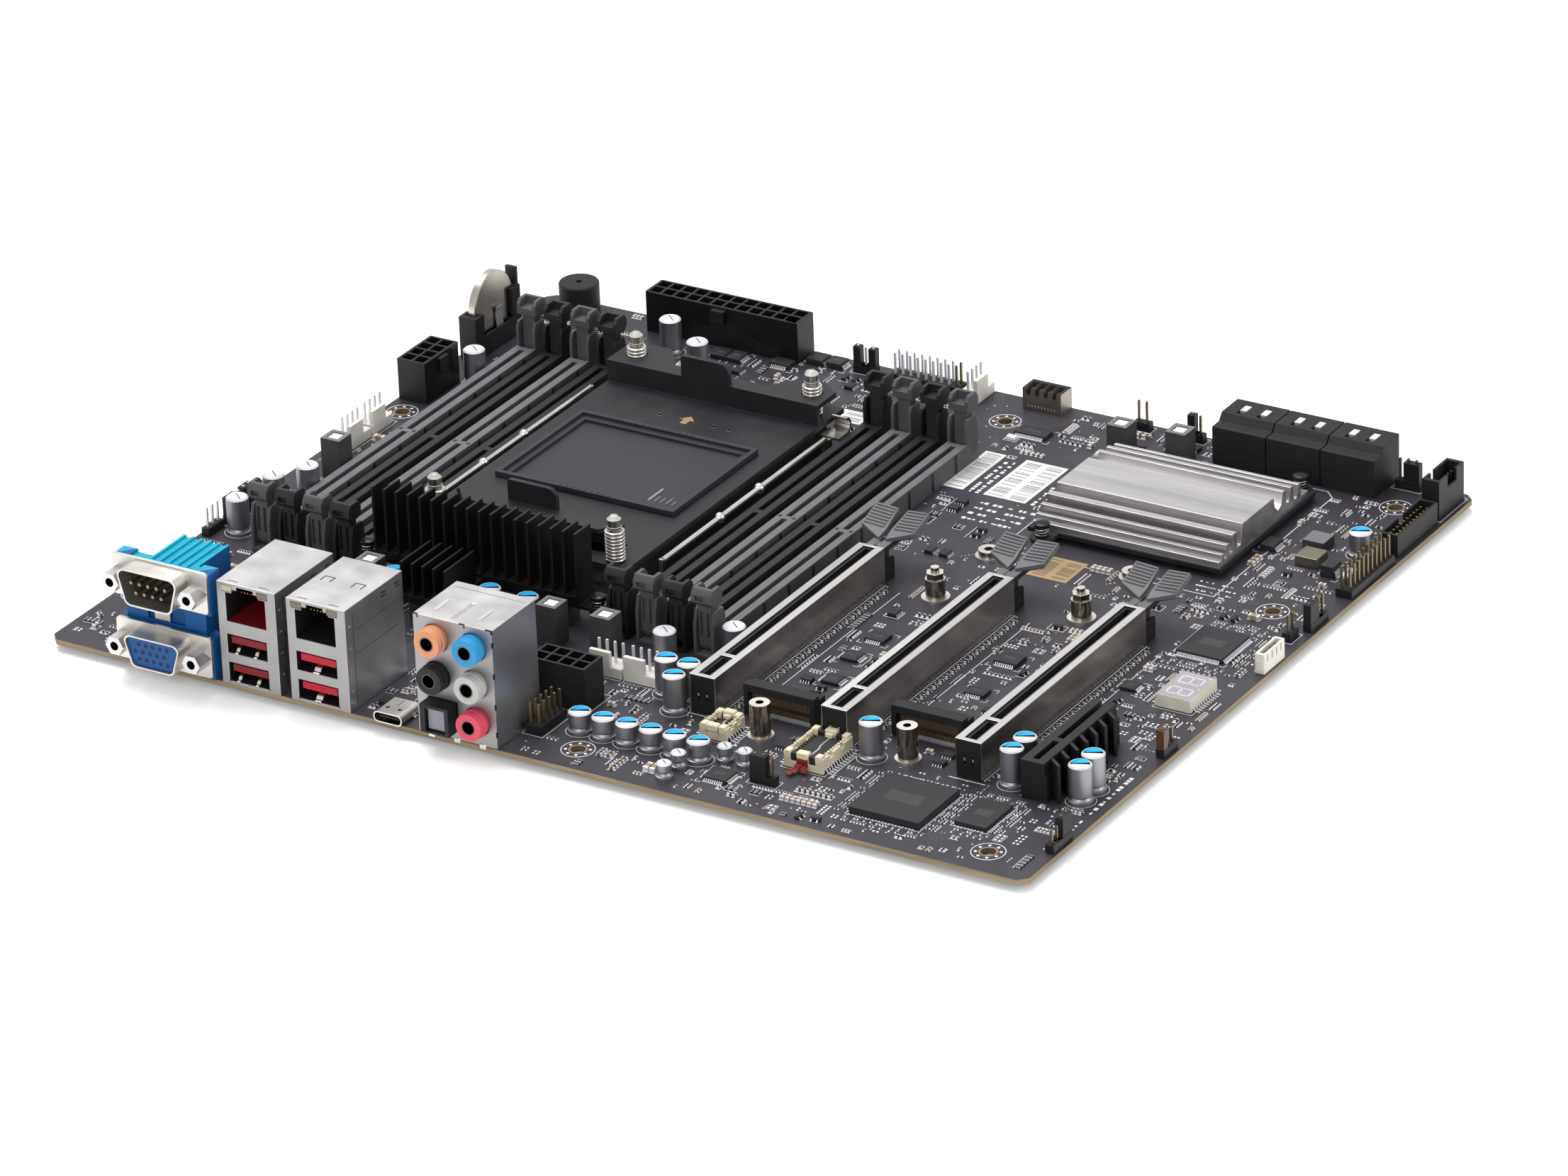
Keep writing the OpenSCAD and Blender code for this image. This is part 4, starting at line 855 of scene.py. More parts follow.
# Zones of the board's top with small parts: X range, Y range, rows to try
ZONES = [((225, 301), (2, 45), 330), ((268, 303), (84, 130), 190), ((262, 303), (128, 176), 220),
         ((268, 298), (176, 238), 210), ((229, 259), (62, 130), 120), ((188, 218), (56, 128), 110),
         ((150, 228), (2, 18), 150), ((176, 216), (24, 52), 110), ((228, 262), (42, 64), 70),
         ((165, 178), (76, 232), 170), ((178, 206), (132, 176), 40), ((206, 268), (138, 174), 200),
         ((178, 232), (228, 252), 150), ((48, 146), (204, 243), 420), ((92, 146), (240, 253), 60),
         ((2, 21), (94, 174), 150), ((2, 33), (4, 70), 130), ((7, 34), (190, 240), 70),
         ((99, 121), (1, 60), 150), ((50, 60), (26, 68), 40), ((145, 181), (24, 62), 120),
         ((56, 132), (78, 92), 50), ((286, 299), (26, 68), 170), ((282, 302), (36, 100), 90),
         ((2, 302), (2, 252), 260)]


# Chips wider than this sit under the heatsink, out of sight.
HIDDEN_CHIP = 26


def legless(x, y):
    """True for the chips that sit on solder balls: the large square one and the long one beside it."""
    short, long = sorted((size(x), size(y)))
    return short > 18 or long > 1.4 * short > 9


def rows_round_chips(parts):
    """Close rows of the smallest parts along the sides of large chips, and pads at a legless chip's foot."""
    for x, y, z in boxes_of("chips"):
        if not 9 < min(size(x), size(y)) < HIDDEN_CHIP:
            continue
        legs = 0.3 if legless(x, y) else 2.2
        for side, row in ((s, r) for s in range(4) for r in (0, 1)):
            level = side % 2
            along, across = (x, y) if level else (y, x)
            out = 1 if side > 1 else -1
            line = across[side > 1] + out * (1.5 + 1.9 * row + legs)
            v = along[0] - rng.uniform(0, 2)
            while v < along[1] + 1:
                v += rng.choice((0.95, 0.95, 0.95, 1.9, 2.85))
                px, py, half = (v, line, (0.22, 0.6)) if level else (line, v, (0.6, 0.22))
                spans = about(px, half[0]), about(py, half[1])
                if is_free(*spans):
                    two_ended(parts.at(px, py, TOP, 90 * level), 0.9, 0.42, 0.32, "resistor")
                    take(*spans, 0.02)
            if row == 0 and legs < 1:
                foot = across[side > 1] + out * 0.4
                for w in every(1, along[0] + 0.5, int(size(along))):
                    parts.at(*((w, foot) if level else (foot, w)), TOP)
                    parts.block(about(0, 0.22), about(0, 0.22), (0, 0.06), "tin", 0.02)


def scatter_parts():
    parts = Piece()
    ink = Piece()
    rows_round_chips(parts)
    for x, y, tries in ZONES:
        for _ in range(tries):
            row_of_parts(parts, ink, (x, y))
    parts.make("surface_parts")
    ink.make("part_outlines")


VIA_ROWS = 520


def scatter_vias():
    """Plated via rings, alone and in short rows."""
    vias = Piece()
    ring = [(0.26, 0), (0.24, 0.03), (0.12, 0.03), (0.1, 0.0)]
    for _ in range(VIA_ROWS):
        x, y = rng.uniform(2, BOARD[0][1] - 2), rng.uniform(2, BOARD[1][1] - 2)
        dx, dy = rng.choice(((1.1, 0), (0, 1.1), (0.8, 0.8)))
        for i in range(rng.choice((1, 1, 2, 3, 5))):
            px, py = x + i * dx, y + i * dy
            if is_free(about(px, 0.3), about(py, 0.3)):
                vias.at(px, py, TOP).lathe(ring, rng.choice(("tin", "tin", "gold")), 8)
    vias.make("vias")


# ---- chips ----


def chip_leads():
    """Leads, first-pin dimples and printed corner marks for the packaged chips."""
    legs = Piece()
    for x, y, z in boxes_of("chips"):
        w, d = size(x), size(y)
        if w > HIDDEN_CHIP:
            continue
        bare = legless(x, y)
        pitch, wide = (0.5, 0.3) if max(w, d) > 9 else (0.65, 0.34)
        bend = (z[1] - TOP) * 0.5 / 0.55
        shape = [(a * 1.35, h * bend if h > 0.2 else h) for a, h in LEAD_SHAPE]
        sides = () if bare else range(4) if min(w, d) > 6.4 else (0, 2) if w > d else (1, 3)
        for side in sides:
            run = (w, d)[side % 2]
            n = int((run - 0.8) / pitch)
            first = (run - (n - 1) * pitch) / 2
            for k in range(n):
                v = (x, y)[side % 2][0] + first
                px, py = ((v + k * pitch, y[side // 2]), (x[1 - side // 2], v + k * pitch))[side % 2]
                legs.at(px, py, TOP, (-90, 0, 90, 180)[side]).lead(shape, wide, 0.16, "tin")
        legs.at(x[0] + 0.9, y[0] + 0.9, z[1]).lathe([(0.42, 0), (0.4, 0.02), (0, 0.02)], "chip_print", 12)
        legs.home()
        if min(w, d) > 4.4:
            legs.block(grown(x, -w * 0.25), about(mid(y), d * 0.12), (z[1], z[1] + 0.01), "chip_print")
        if bare:
            legs.line(outline(grown(x, 0.7), grown(y, 0.7)), 0.15, closed=True)
            continue
        for cx, sx in zip(grown(x, 1.5), (-1, 1)):
            for cy, sy in zip(grown(y, 1.5), (-1, 1)):
                legs.line([(cx - sx * 1.6, cy), (cx, cy), (cx, cy - sy * 1.6)], 0.15)
    legs.make("chip_leads")


# ---- capacitors and inductors ----


def cans():
    """Centre, radius and top of each round capacitor; those that touch are one solid, in a row along Y."""
    found = []
    for x, y, z in boxes_of("capacitors"):
        n = round(size(y) / size(x))
        step = size(y) / n
        found += [(mid(x), y[0] + (i + 0.5) * step, size(x) / 2 - 0.3, z[1]) for i in range(n)]
    return found


def cap_prints():
    """Blue half-moons or dark polarity lines on the capacitors' tops, and printed rings round large ones."""
    prints = Piece()
    for x, y, r, z in cans():
        large = r > 2.5
        if large and ((x > 150 and not (y > 55 and x < 180)) or (50 < x < 130 and y < 80)):
            turned = Matrix.Rotation(math.radians(24), 2)
            arc = [p for p in circle(0, 0, r - 0.55, 36) if p[1] > -0.15 * r]
            arc.sort(key=lambda p: p[0], reverse=True)
            moon = [turned @ Vector(p) for p in arc]
            prints.prism([(x + p.x, y + p.y) for p in moon], (z, z + 0.02), "print_blue")
        else:
            turned = Matrix.Rotation(math.radians(-40), 2)
            ends = [turned @ Vector((s * r * 0.6, 0.1 * r)) for s in (-1, 1)]
            prints.band([(x + e.x, y + e.y) for e in ends], 0.3, (z, z + 0.015), "print_dark")
        if large:
            prints.line(circle(x, y, r + 0.9, 30), 0.15, closed=True)
    prints.make("capacitor_prints")


# ---- labels and printed lines ----

# Rows of plain strokes where the board carries print: X range, Y range, rows, height. They spell nothing.
STROKES = [((176.5, 181), (193, 216), 2, 1.5), ((196.5, 201), (193, 214), 2, 1.5),
           ((184, 202), (176, 190), 4, 1.7), ((205, 216), (164, 170), 2, 0.8),
           ((246, 258), (164, 170), 2, 0.8), ((262, 275), (166, 174), 3, 0.9),
           ((300.4, 302.6), (27, 64), 1, 1.6), ((246, 267), (35.5, 38), 1, 0.8), ((30, 44), (27, 31), 2, 0.9)]
# X range, Y range, finish of the stuck-on labels
LABELS = [((168.8, 175.5), (193, 218), "label_white"), ((182, 195.5), (193, 218), "label_white"),
          ((112, 128), (216.5, 224), "label_white"), ((217.5, 230), (154.5, 167.5), "label_gold")]


def strokes(ink, x, y, rows, tall):
    """Rows of short strokes along a rectangle's longer side."""
    upright = size(y) > size(x)
    along, across = (y, x) if upright else (x, y)
    for r in range(rows):
        v = along[0]
        at = across[0] + (r + 0.5) * size(across) / rows
        while v < along[1] - tall:
            step = tall * rng.choice((0.5, 0.7, 0.7, 0.9))
            if rng.random() < 0.85:
                path = [(at, v), (at, v + step)] if upright else [(v, at), (v + step, at)]
                ink.line(path, tall * rng.choice((0.7, 0.7, 0.35)))
            v += step + tall * rng.choice((0.28, 0.28, 0.9))
    take(x, y, 0.1)


def board_prints():
    """Outlines round the slots, heatsink and sockets, with no lettering."""
    ink = Piece()
    for x, y, z in boxes_of("dimm_slots_grey") + boxes_of("dimm_slots_black"):
        if size(y) > 100:
            ink.line([(x[0] - 0.6, y[0] + 8), (x[0] - 0.6, y[1] - 8)], 0.18)
    for x, y, z in boxes_of("pcie_slots"):
        if size(y) > 80:
            ink.line([(x[1] + 6.5, y[0] + 12), (x[1] + 6.5, y[1] - 2)], 0.2)
            ink.line([(x[0] - 2, y[0] - 1.2), (x[1] + 2, y[0] - 1.2)], 0.3)
    x, y = (grown(s, 3.2) for s in mm_box("chipset_heatsink")[:2])
    ink.line([(x[0] + 6, y[0]), (x[1], y[0]), (x[1], y[1] - 3), (x[1] - 3, y[1]), (x[0], y[1]),
              (x[0], y[0] + 6)], 0.25, closed=True)
    for node in ("power_connectors", "sata_ports", "rom_sockets", "post_display", "header_bases",
                 "fan_headers"):
        for x, y in ((grown(b[0], 0.7), grown(b[1], 0.7)) for b in boxes_of(node)):
            if x[0] >= 1 and x[1] <= BOARD[0][1] - 1 and y[1] <= BOARD[1][1] - 1:
                ink.line(outline(x, y), 0.16, closed=True)
    for x, y, z in boxes_of("rom_sockets"):
        ink.line([(x[1] + 2.2, y[0] - 1), (x[1] + 2.2, y[1] + 1), (x[0] - 2, y[1] + 1)], 0.2)
    for x, y, rows, tall in STROKES:
        strokes(ink, x, y, rows, tall)
    ink.make("board_prints")


def labels():
    """Plain labels: blocks of unreadable grey lines stand for what is printed on them."""
    made = Piece()
    top = TOP + 0.09
    for x, y, finish in LABELS:
        white = finish == "label_white"
        made.block(x, y, (TOP, top), finish, 0.03)
        take(x, y)
        columns = 2 if size(x) > 10 else 1
        for c in range(columns):
            x0 = x[0] + 1 + c * size(x) / columns
            line = (x0, x0 + size(x) / columns - 2)
            v = y[0] + 1.2
            while v < y[1] - 1.4:
                thick = rng.choice((0.25, 0.4, 0.6)) if white else 0.3
                made.block(line, (v, v + thick), (top, top + 0.008), "label_line" if white else "print_dark")
                v += thick + rng.choice((0.35, 0.5, 1.4))
    made.make("labels")


# ---- rear ports ----


def port_details():
    """Contacts, lamp windows, springs and press marks of the rear ports."""
    parts = Piece()
    # Pin sockets of the video port: three rows of five in the lower housing's face, each a blue ring round a
    # black disc that is painted shade in the hole.
    screws = boxes_of("dsub_jackscrews")
    x0 = sum(mid(b[0]) for b in screws) / len(screws)
    z0 = min(mid(b[2]) for b in screws)
    face = mm_box("dsub_housing")[1][0]
    for row in range(3):
        for i in range(5):
            parts.at(x0 - 4.6 + 2.3 * i - 1.1 * (row == 1), face, z0 + 2.2 - 2.2 * row, 90, "X")
            parts.lathe([(0.72, -0.02), (0.72, 0.04), (0.6, 0.08)], "vga_blue", 14)
            parts.lathe([(0.6, 0.0), (0.58, 0.09), (0, 0.09)], "black_gloss", 14)
    shells = boxes_of("lan_usb_shells")
    front = shells[0][1][0]
    for n, (x, y, z) in enumerate(shells):
        # Eight sprung wires in the network socket, with a lamp window above each side.
        parts.home()
        wire_path = ((3.4, 4.0), (5.2, 4.2), (9.8, 8.2), (13.2, 8.8))
        for wx in every(1.02, x[0] + 5.5, 8):
            parts.tube([(wx, v, z[1] - down) for v, down in wire_path], 0.16, "gold", 5)
        for dx in (1.4, 12.9):
            parts.block((x[0] + dx + 0.04, x[0] + dx + 3.36), (front - 0.05, front + 0.55),
                        (z[1] - 2.56, z[1] - 0.84), "led_lens" if n == 0 and dx < 2 else "lens_grey", 0.15)
        # Springs in the mouths of the two USB ports.
        for low in (2.6, 11.0):
            for dx, w in ((5.2, 1.0), (11.2, 1.0)) if n == 0 else ((8.4, 2.0),):
                parts.at(x[0] + dx, front + 0.7, low, 90)
                parts.lead([(0, 0.15), (0.4, 0.9), (1.1, 1.5), (5.5, 2.2)], w, 0.2, "nickel")
                parts.home().block(about(x[0] + dx, w / 2), (front - 0.03, front + 0.8),
                                   (low + 0.02, low + 0.5), "nickel", 0.1)
            parts.block((x[0] + 4, x[0] + 14.6), (front + 3, front + 3.4), (low + 3.6, low + 3.9),
                        "gold", 0.05)
        # Press marks, seams and slits.
        for dx in (2.6, 8.8, 15.4):
            parts.at(x[0] + dx, front, z[0] + 1.05, 90, "X")
            parts.lathe([(0.34, -0.01), (0.3, 0.05), (0.12, 0.02)], "dark_metal", 10)
        parts.home()
        seam, slit = (x[1] - 0.01, x[1] + 0.02), (x[1] - 0.02, x[1] + 0.03)
        parts.block((seam[0], x[1] + 0.025), (front + 3.6, front + 3.78), (z[0] + 1.5, z[1] - 2),
                    "black_gloss")
        for low in (z[1] - 7.6, z[1] - 14.6):
            parts.block(seam, (front + 4.5, y[1] - 3), (low, low + 0.15), "dark_metal")
        for v in (17, 23.6):
            for high in (z[1] - 2.2, z[1] - 3.2):
                parts.block(slit, (v, v + 2.2), (high - 0.35, high), "black_gloss")
        for dy in (1.8, 2.4):
            for k in range(4):
                parts.at(x[1], front + dy, z[1] - 5.5 - k * 6.4, 90, "Y")
                parts.lathe([(0.32, -0.01), (0.26, 0.05), (0, 0.06)], "shield_top", 10)
    parts.home()
    # Two folded tabs cut in the top of the right stack.
    x, y, z = shells[-1]
    for cx in (x[0] + 4, x[0] + 13.8):
        parts.band([(cx - 1.5, 12.6), (cx - 1.5, 15.4), (cx + 1.5, 15.4), (cx + 1.5, 12.6)], 0.34,
                   about(z[1], 0.02), "black_gloss")
    for x, y, z in shells:
        for dx in (4.4, 14.4):
            parts.block(about(x[0] + dx, 1.6), (1.2, 1.5), (z[1] - 0.01, z[1] + 0.03), "dark_metal")
    # Reversible port: two press marks, a seam and two feet. The press marks are dark rings round black discs:
    # painted shade in the dimples.
    x, y, z = next(b for b in boxes_of("usb_c_and_slim_ports") if b[0][0] < mid(BOARD[0]))
    for dx in (-1.9, 1.9):
        parts.at(mid(x) + dx, 2.4, z[1]).lathe([(0.62, 0.0), (0.6, 0.03), (0.42, 0.035)], "dark_metal", 16)
        parts.lathe([(0.4, 0.0), (0.36, 0.04), (0, 0.04)], "black_gloss", 14)
    parts.home().block(about(mid(x), 0.09), (4.2, y[1] - 0.6), about(z[1], 0.02), "black_gloss")
    parts.twins(mid(x), (4.2, 4.9), (5, 6.6), (TOP - 0.4, TOP + 0.7), "nickel", 0.1)
    parts.make("port_details")


def audio_details():
    """Rings in the jacks, and the audio block's notches, clips and press marks."""
    parts = Piece()
    rings = [[(3.92, -3.2), (4.14, -3.1), (4.14, -2.5), (3.92, -2.4)],
             [(3.92, -1.3), (4.02, -1.2), (4.02, -0.9), (3.92, -0.8)],
             [(3.3, -0.02), (3.2, 0.06), (2.7, 0.06), (2.6, -0.02)]]
    for box in JACKS:
        parts.at(mid(box[0]), box[1][0], mid(box[2]), 90, "X")
        for ring in rings:
            parts.lathe(ring, JACK_LOOKS[jack_look(box)], 40)
        parts.lathe([(2.15, -0.02), (2.1, 0.03), (1.84, 0.03), (1.82, -1.2), (1.79, -1.2)], "dark_metal", 32)
    parts.home()
    x, y, z = mm_box("audio_shell")

    def notch(a, b, depth, low, high):
        parts.block((x[0] + a, x[0] + b), (y[0] - 0.03, y[0] + depth), (z[1] + low, z[1] + high),
                    "black_gloss", 0.05)
    for a, b in ((0.02, 1.6), (14.5, 16.3), (22.6, 24.7)):
        notch(a, b, 0.5, -0.24, 0.02)
        notch(b - 0.4, b + 0.1, 0.4, -1.1, -0.2)
    for down in (3.4, 12.6, 21.6, 29.8):
        notch(size(x) - 0.3, size(x) + 0.03, 0.6, -down - 1.7, -down)
    for dx in (4.5, 18.2):
        tab = circle(dx, 4.2, 0.55, 12, math.pi)[:7] + circle(dx, 10.4, 0.55, 12)[:7]
        parts.prism([(x[0] + a, y[0] + b) for a, b in tab], (z[1] - 0.02, z[1] + 0.14), "shield_top")
    parts.block((x[0] + 1.5, x[1] - 1.2), (y[1] - 3.1, y[1] - 2.95), about(z[1], 0.02), "dark_metal")
    for dx in (4.0, 12.0, 20.0):
        parts.block(about(x[0] + dx, 1), (y[0] - 0.12, y[0] + 0.5), (TOP - 0.9, TOP + 0.6), "nickel", 0.12)
    # Chamfered hood over the optical port's shutter.
    x, y, z = mm_box("spdif_port")
    parts.block(grown(x, -0.8), (y[0] - 0.06, y[0] + 0.9), (z[1] - 0.32, z[1] + 0.04), "black_gloss", 0.15)
    parts.make("audio_details")


# ---- slots, sockets and heatsinks ----


# Memory slots: length of the towers at both ends, height of the rails between them, pitch of the contacts
DIMM_TOWER, DIMM_RAIL, DIMM_PITCH = 6.4, 6.3, 0.85


def slot_details():
    """Contact fingers, foot pins, key notches and the capacitor rows beside the slots."""
    parts = Piece()
    for x, y, z in boxes_of("dimm_slots_grey") + boxes_of("dimm_slots_black"):
        if size(y) < 100:
            continue
        inner, rail = grown(y, -DIMM_TOWER), TOP + DIMM_RAIL
        for a, b in ((inner[0] + 2.4, inner[0] + 66), (inner[0] + 69, inner[1] - 2.4)):
            for v in every(DIMM_PITCH, a, int((b - a) / DIMM_PITCH)):
                parts.twins(mid(x), (0.86, 0.7), (v, v + 0.4), (rail - 3.6, rail - 2.2),
                            "contact_brass", 0.03)
        # Small square marks beside the key, and posts at the slot's foot.
        key = inner[0] + 67
        parts.twins(mid(x), (1.7, 2.7), (key, key + 1.2), (rail - 0.03, rail + 0.02), "black_gloss")
        for v in every(13, inner[0] + 6, 10):
            parts.twins(mid(x), (3.22, 3.36), (v, v + 1.2), (TOP + 0.4, rail - 0.5), "slot_black", 0.05)
    for x, y, z in boxes_of("pcie_shields"):
        for i, v in enumerate(every(1, y[0] + 0.5, int(size(y)))):
            parts.block((x[1] + 0.12, x[1] + 0.62), (v, v + 0.5), (TOP, TOP + 0.3), "tin", 0.08)
            if i % 2:
                parts.block((x[1] + 0.95, x[1] + 1.4), (v, v + 0.45), (TOP, TOP + 0.12), "tin", 0.05)
        for v in every(3.3, y[0] + 5, int((size(y) - 6) / 3.3)):
            two_ended(parts.at(x[1] + 2.5, v, TOP, 90), 1.6, 0.8, 0.7, "resistor")
        parts.home()
        take((x[1], x[1] + 3.6), y)
        parts.twins(mid(x), about(1.3, 0.22), (y[0] + 0.06, y[0] + 0.3), (6.6, 7.5), "label_line", 0.05)
        # Fingers in the slot's mouth, with a gap at the key.
        for v in every(1, y[0] + 3, 82):
            if not 12.6 < v - y[0] < 15:
                parts.twins(mid(x), (0.91, 0.7), (v, v + 0.5), (z[1] - 3.4, z[1] - 1.4),
                            "contact_brass", 0.03)
    for x, y, z in boxes_of("m2_connectors"):
        # Contact wall under the lip: two rows of fingers, their tails soldered in front.
        wall = y[0] + 2.4
        parts.block(grown(x, -0.9), (wall - 0.1, wall + 0.02), (TOP + 0.5, z[1] - 2.4), "contact_brass", 0.03)
        for v in every(0.5, x[0] + 1.2, int((size(x) - 2.4) / 0.5)):
            for rows in ((TOP + 3.1, z[1] - 3.3), (TOP + 0.9, TOP + 2.0)):
                parts.block((v, v + 0.24), (wall - 0.22, wall - 0.08), rows, "ceramic_brown", 0.03)
            parts.at(v + 0.12, wall - 0.3, TOP, -90)
            parts.lead([(0, 0.7), (0.3, 0.55), (0.45, 0.1), (1.3, 0.1)], 0.25, 0.12, "tin")
            parts.home()
        half = size(x) / 2
        parts.twins(mid(x), (half, half + 1.6), (y[0] + 3, y[0] + 5.2), (TOP, TOP + 0.35), "tin", 0.12)
    # The short slot's foot pins.
    x, y, z = max(boxes_of("pcie_slots"), key=lambda b: b[0][1])
    for v in every(1, y[0] + 0.6, int(size(y)) - 1):
        parts.block((x[0] - 0.55, x[0] - 0.1), (v, v + 0.45), (TOP, TOP + 0.25), "tin", 0.06)
    parts.make("slot_details")


def coil(piece, r, z, turns, wire_r, name):
    """A round spring about the piece's own Z."""
    steps = int(turns * 16)
    round_path = ((2 * math.pi * k / 16, z[0] + size(z) * k / steps) for k in range(steps + 1))
    piece.tube([(r * math.cos(a), r * math.sin(a), h) for a, h in round_path], wire_r, name)


def socket_details():
    """Springs and heads of the push pins, stud tips, and marks on the socket's plate and cover."""
    parts = Piece()
    for x, y, z in boxes_of("push_pins"):
        head = z[1]
        coil(parts.at(mid(x), mid(y), 0), 1.72, (head - 3.9, head - 1.3), 3.2, 0.24, "steel")
        dome = ((2.3, -0.3), (2.2, -0.02), (1.5, 0.22), (0.6, 0.3), (0, 0.3))
        parts.lathe([(r, head + h) for r, h in dome], "black_gloss", 28)
        parts.block(about(0, 1.1), about(0, 0.14), (head + 0.24, head + 0.36), "black_gloss", 0.05)
    for x, y, z in boxes_of("load_studs"):
        if size(x) > 3 and size(z) > 15:
            parts.at(mid(x), mid(y), z[1])
            parts.lathe([(2.02, -3.6), (2.12, -3.5), (2.12, -3.1), (2.02, -3.0)], "nickel", 28)
            parts.lathe([(1.0, -0.05), (0.8, 0.02), (0, 0.03)], "nickel", 20)
    # A plain arrow and three press marks on the plate.
    plate, cover = mm_box("bolster_plate"), mm_box("socket_cover")
    plate_low, top = 9.4, TOP + 9.4
    cx, cy = mid(plate[0]) - 0.5, cover[1][1] + 10
    arrow = [(-1, -2.4), (1, -2.4), (1, 0), (2.4, 0), (0, 2.6), (-2.4, 0), (-1, 0)]
    parts.home().prism([(cx + a, cy + b) for a, b in arrow], (top, top + 0.03), "label_gold")
    for dx in (-9, 9, 14):
        parts.at(cx + dx, cy, top).lathe([(0.9, 0), (0.85, 0.03), (0.6, 0.03), (0.55, 0)], "dark_metal", 18)
    parts.home()
    # The field of sprung contacts that the cover protects, in two halves.
    x, y, z = mm_box("cpu_socket")
    well, pitch = plate_low - 3.4, 0.94
    for half, (a, b) in enumerate(((x[0] + 6.5, mid(x) - 2), (mid(x) + 2, x[1] - 6.5))):
        for i in range(int((b - a) / pitch)):
            for j in range(int((size(y) - 26) / pitch)):
                u, v = a + pitch * i, y[0] + 13 + pitch * (j + 0.5 * (i % 2))
                if half == i % 7 == 0 and j % 5 == 0:
                    continue
                parts.add([(u, v, well + 0.02), (u + 0.34, v, well + 0.02), (u + 0.5, v + 0.22, well + 0.62),
                           (u + 0.2, v + 0.22, well + 0.62)], [(0, 1, 2, 3)], "gold")
    parts.make("socket_marks")
    # Plain bars on the cover's floor in place of its print, and grip ribs on its rim.
    ribs = Piece()
    x, y, _ = cover
    floor, rim = TOP + 9.05, (12.66, 12.82)
    for row, (run, wide) in enumerate(((8.0, 0.7), (3.5, 0.25), (3.0, 0.25), (3.8, 0.25), (2.6, 0.25))):
        v = x[1] - 12.5 + 1.9 * row
        ribs.band([(v, y[0] + 7), (v, y[0] + 7 + run)], wide, (floor, floor + 0.03), "label_line")
    for v in every(2, mid(x) - 8, 9):
        for end in ((y[0] + 0.25, y[0] + 1.25), (y[1] - 1.25, y[1] - 0.25)):
            ribs.block(about(v, 0.35), end, rim, "cover_black", 0.08)
    ribs.make("cover_ribs", body="socket_cover")


# ---- connectors ----


def seven_segments(parts, x, y, z, tall, wide, name):
    """The seven bars of one digit as flat strips. It stands along X from its corner x, y."""
    strips = [((k * tall / 2, 0), (k * tall / 2, wide)) for k in range(3)]
    strips += [((k * tall / 2, side), ((k + 1) * tall / 2, side)) for k in (0, 1) for side in (0, wide)]
    for (ax, ay), (bx, by) in strips:
        d = Vector((bx - ax, by - ay)).normalized() * 0.4
        a, b = Vector((x + ax, y + ay)) + d, Vector((x + bx, y + by)) - d
        parts.band([a - d * 0.4, a, b, b + d * 0.4], 0.5, z, name)


def rom_socket(parts, x, y, z, tabbed):
    """Chip, contacts, prongs and spring clip of a cream chip socket, and a crumpled red tab on one."""
    cx, top = mid(x), z[1]
    parts.block(grown(x, -2.6), grown(y, -1.7), (top - 2.2, top - 0.9), "chip_black", 0.15)
    count = int(size(y) / 1.27) - 1
    first = y[0] + (size(y) - (count - 1) * 1.27) / 2
    for v in every(1.27, first, count):
        for side, out in zip(x, (-1, 1)):
            parts.block((side - out * 1.5, side - out * 2.9), about(v, 0.2), (top - 1.5, top - 0.8),
                        "contact_brass", 0.05)
            parts.block((side - out * 0.5, side - out * 1.3), (v + 0.3, v + 0.95), (top - 0.1, top + 0.45),
                        "cream", 0.1)
            parts.at(side, v, TOP, 0 if out > 0 else 180)
            parts.lead([(-0.2, 1.2), (0.3, 1.0), (0.7, 0.12), (1.9, 0.12)], 0.46, 0.2, "tin")
            parts.home()
    # A thin dark strip at the foot of each long side: painted shade under the socket's body.
    for side, out in zip(x, (-1, 1)):
        parts.block((side + out * 0.06, side), grown(y, -0.8), (TOP, TOP + 1.1), "chip_black", 0.02)
    # Three prongs with deep gaps between them at each end: a clamp in the middle, a post at each corner. The
    # gaps are dark blocks: painted shade.
    wide = (size(x) - 2) / 2
    for v, out in zip(y, (-1, 1)):
        for s in (-1, 1):
            post = cx + s * (wide - 1.3)
            parts.block((cx + s * 1.75, post), (v + out * 0.06, v - out * 1.7), (top - 2.1, top + 0.05),
                        "chip_black", 0.04)
            parts.block((post, cx + s * (wide + 0.6)), (v + out * 0.3, v - out * 1.9),
                        (top - 1.6, top + 0.75), "cream", 0.2)
        parts.block(about(cx, 1.75), (v + out * 0.7, v - out * 1.5), (top - 1.0, top + 0.95), "cream", 0.25)
        parts.block(about(cx, 1.1), (v - out * 1.4, v - out * 2.5), (top - 0.9, top + 0.2), "cream", 0.15)
    parts.band([(cx + 0.9, y[0] + 2.4), (cx + 0.9, mid(y) - 1.2), (cx + 0.3, mid(y) + 0.8),
                (cx + 0.3, y[1] - 2.4)], 0.5, (top - 0.95, top - 0.82), "steel")
    if tabbed:
        # The tab hangs over the near end.
        parts.block((cx - 1.5, cx + 1.4), (y[0] - 1.1, y[0]), (top - 3.3, top - 1.0), "red_tab", 0.2)
        parts.at(cx - 0.5, y[0] - 0.9, top - 2.2, -112)
        parts.lead([(0, 0), (0.7, -0.2), (1.3, -1.1), (2.4, -1.5), (3.4, -1.2), (4.2, -1.55)],
                   2.0, 0.3, "red_tab")
        parts.at(cx + 0.8, y[0] - 0.9, top - 2.6, -70)
        parts.lead([(0, 0), (0.6, 0.2), (1.2, -0.6), (1.7, -1.1)], 1.3, 0.3, "red_tab")
        parts.home()
    take(grown(x, 1.6), y)


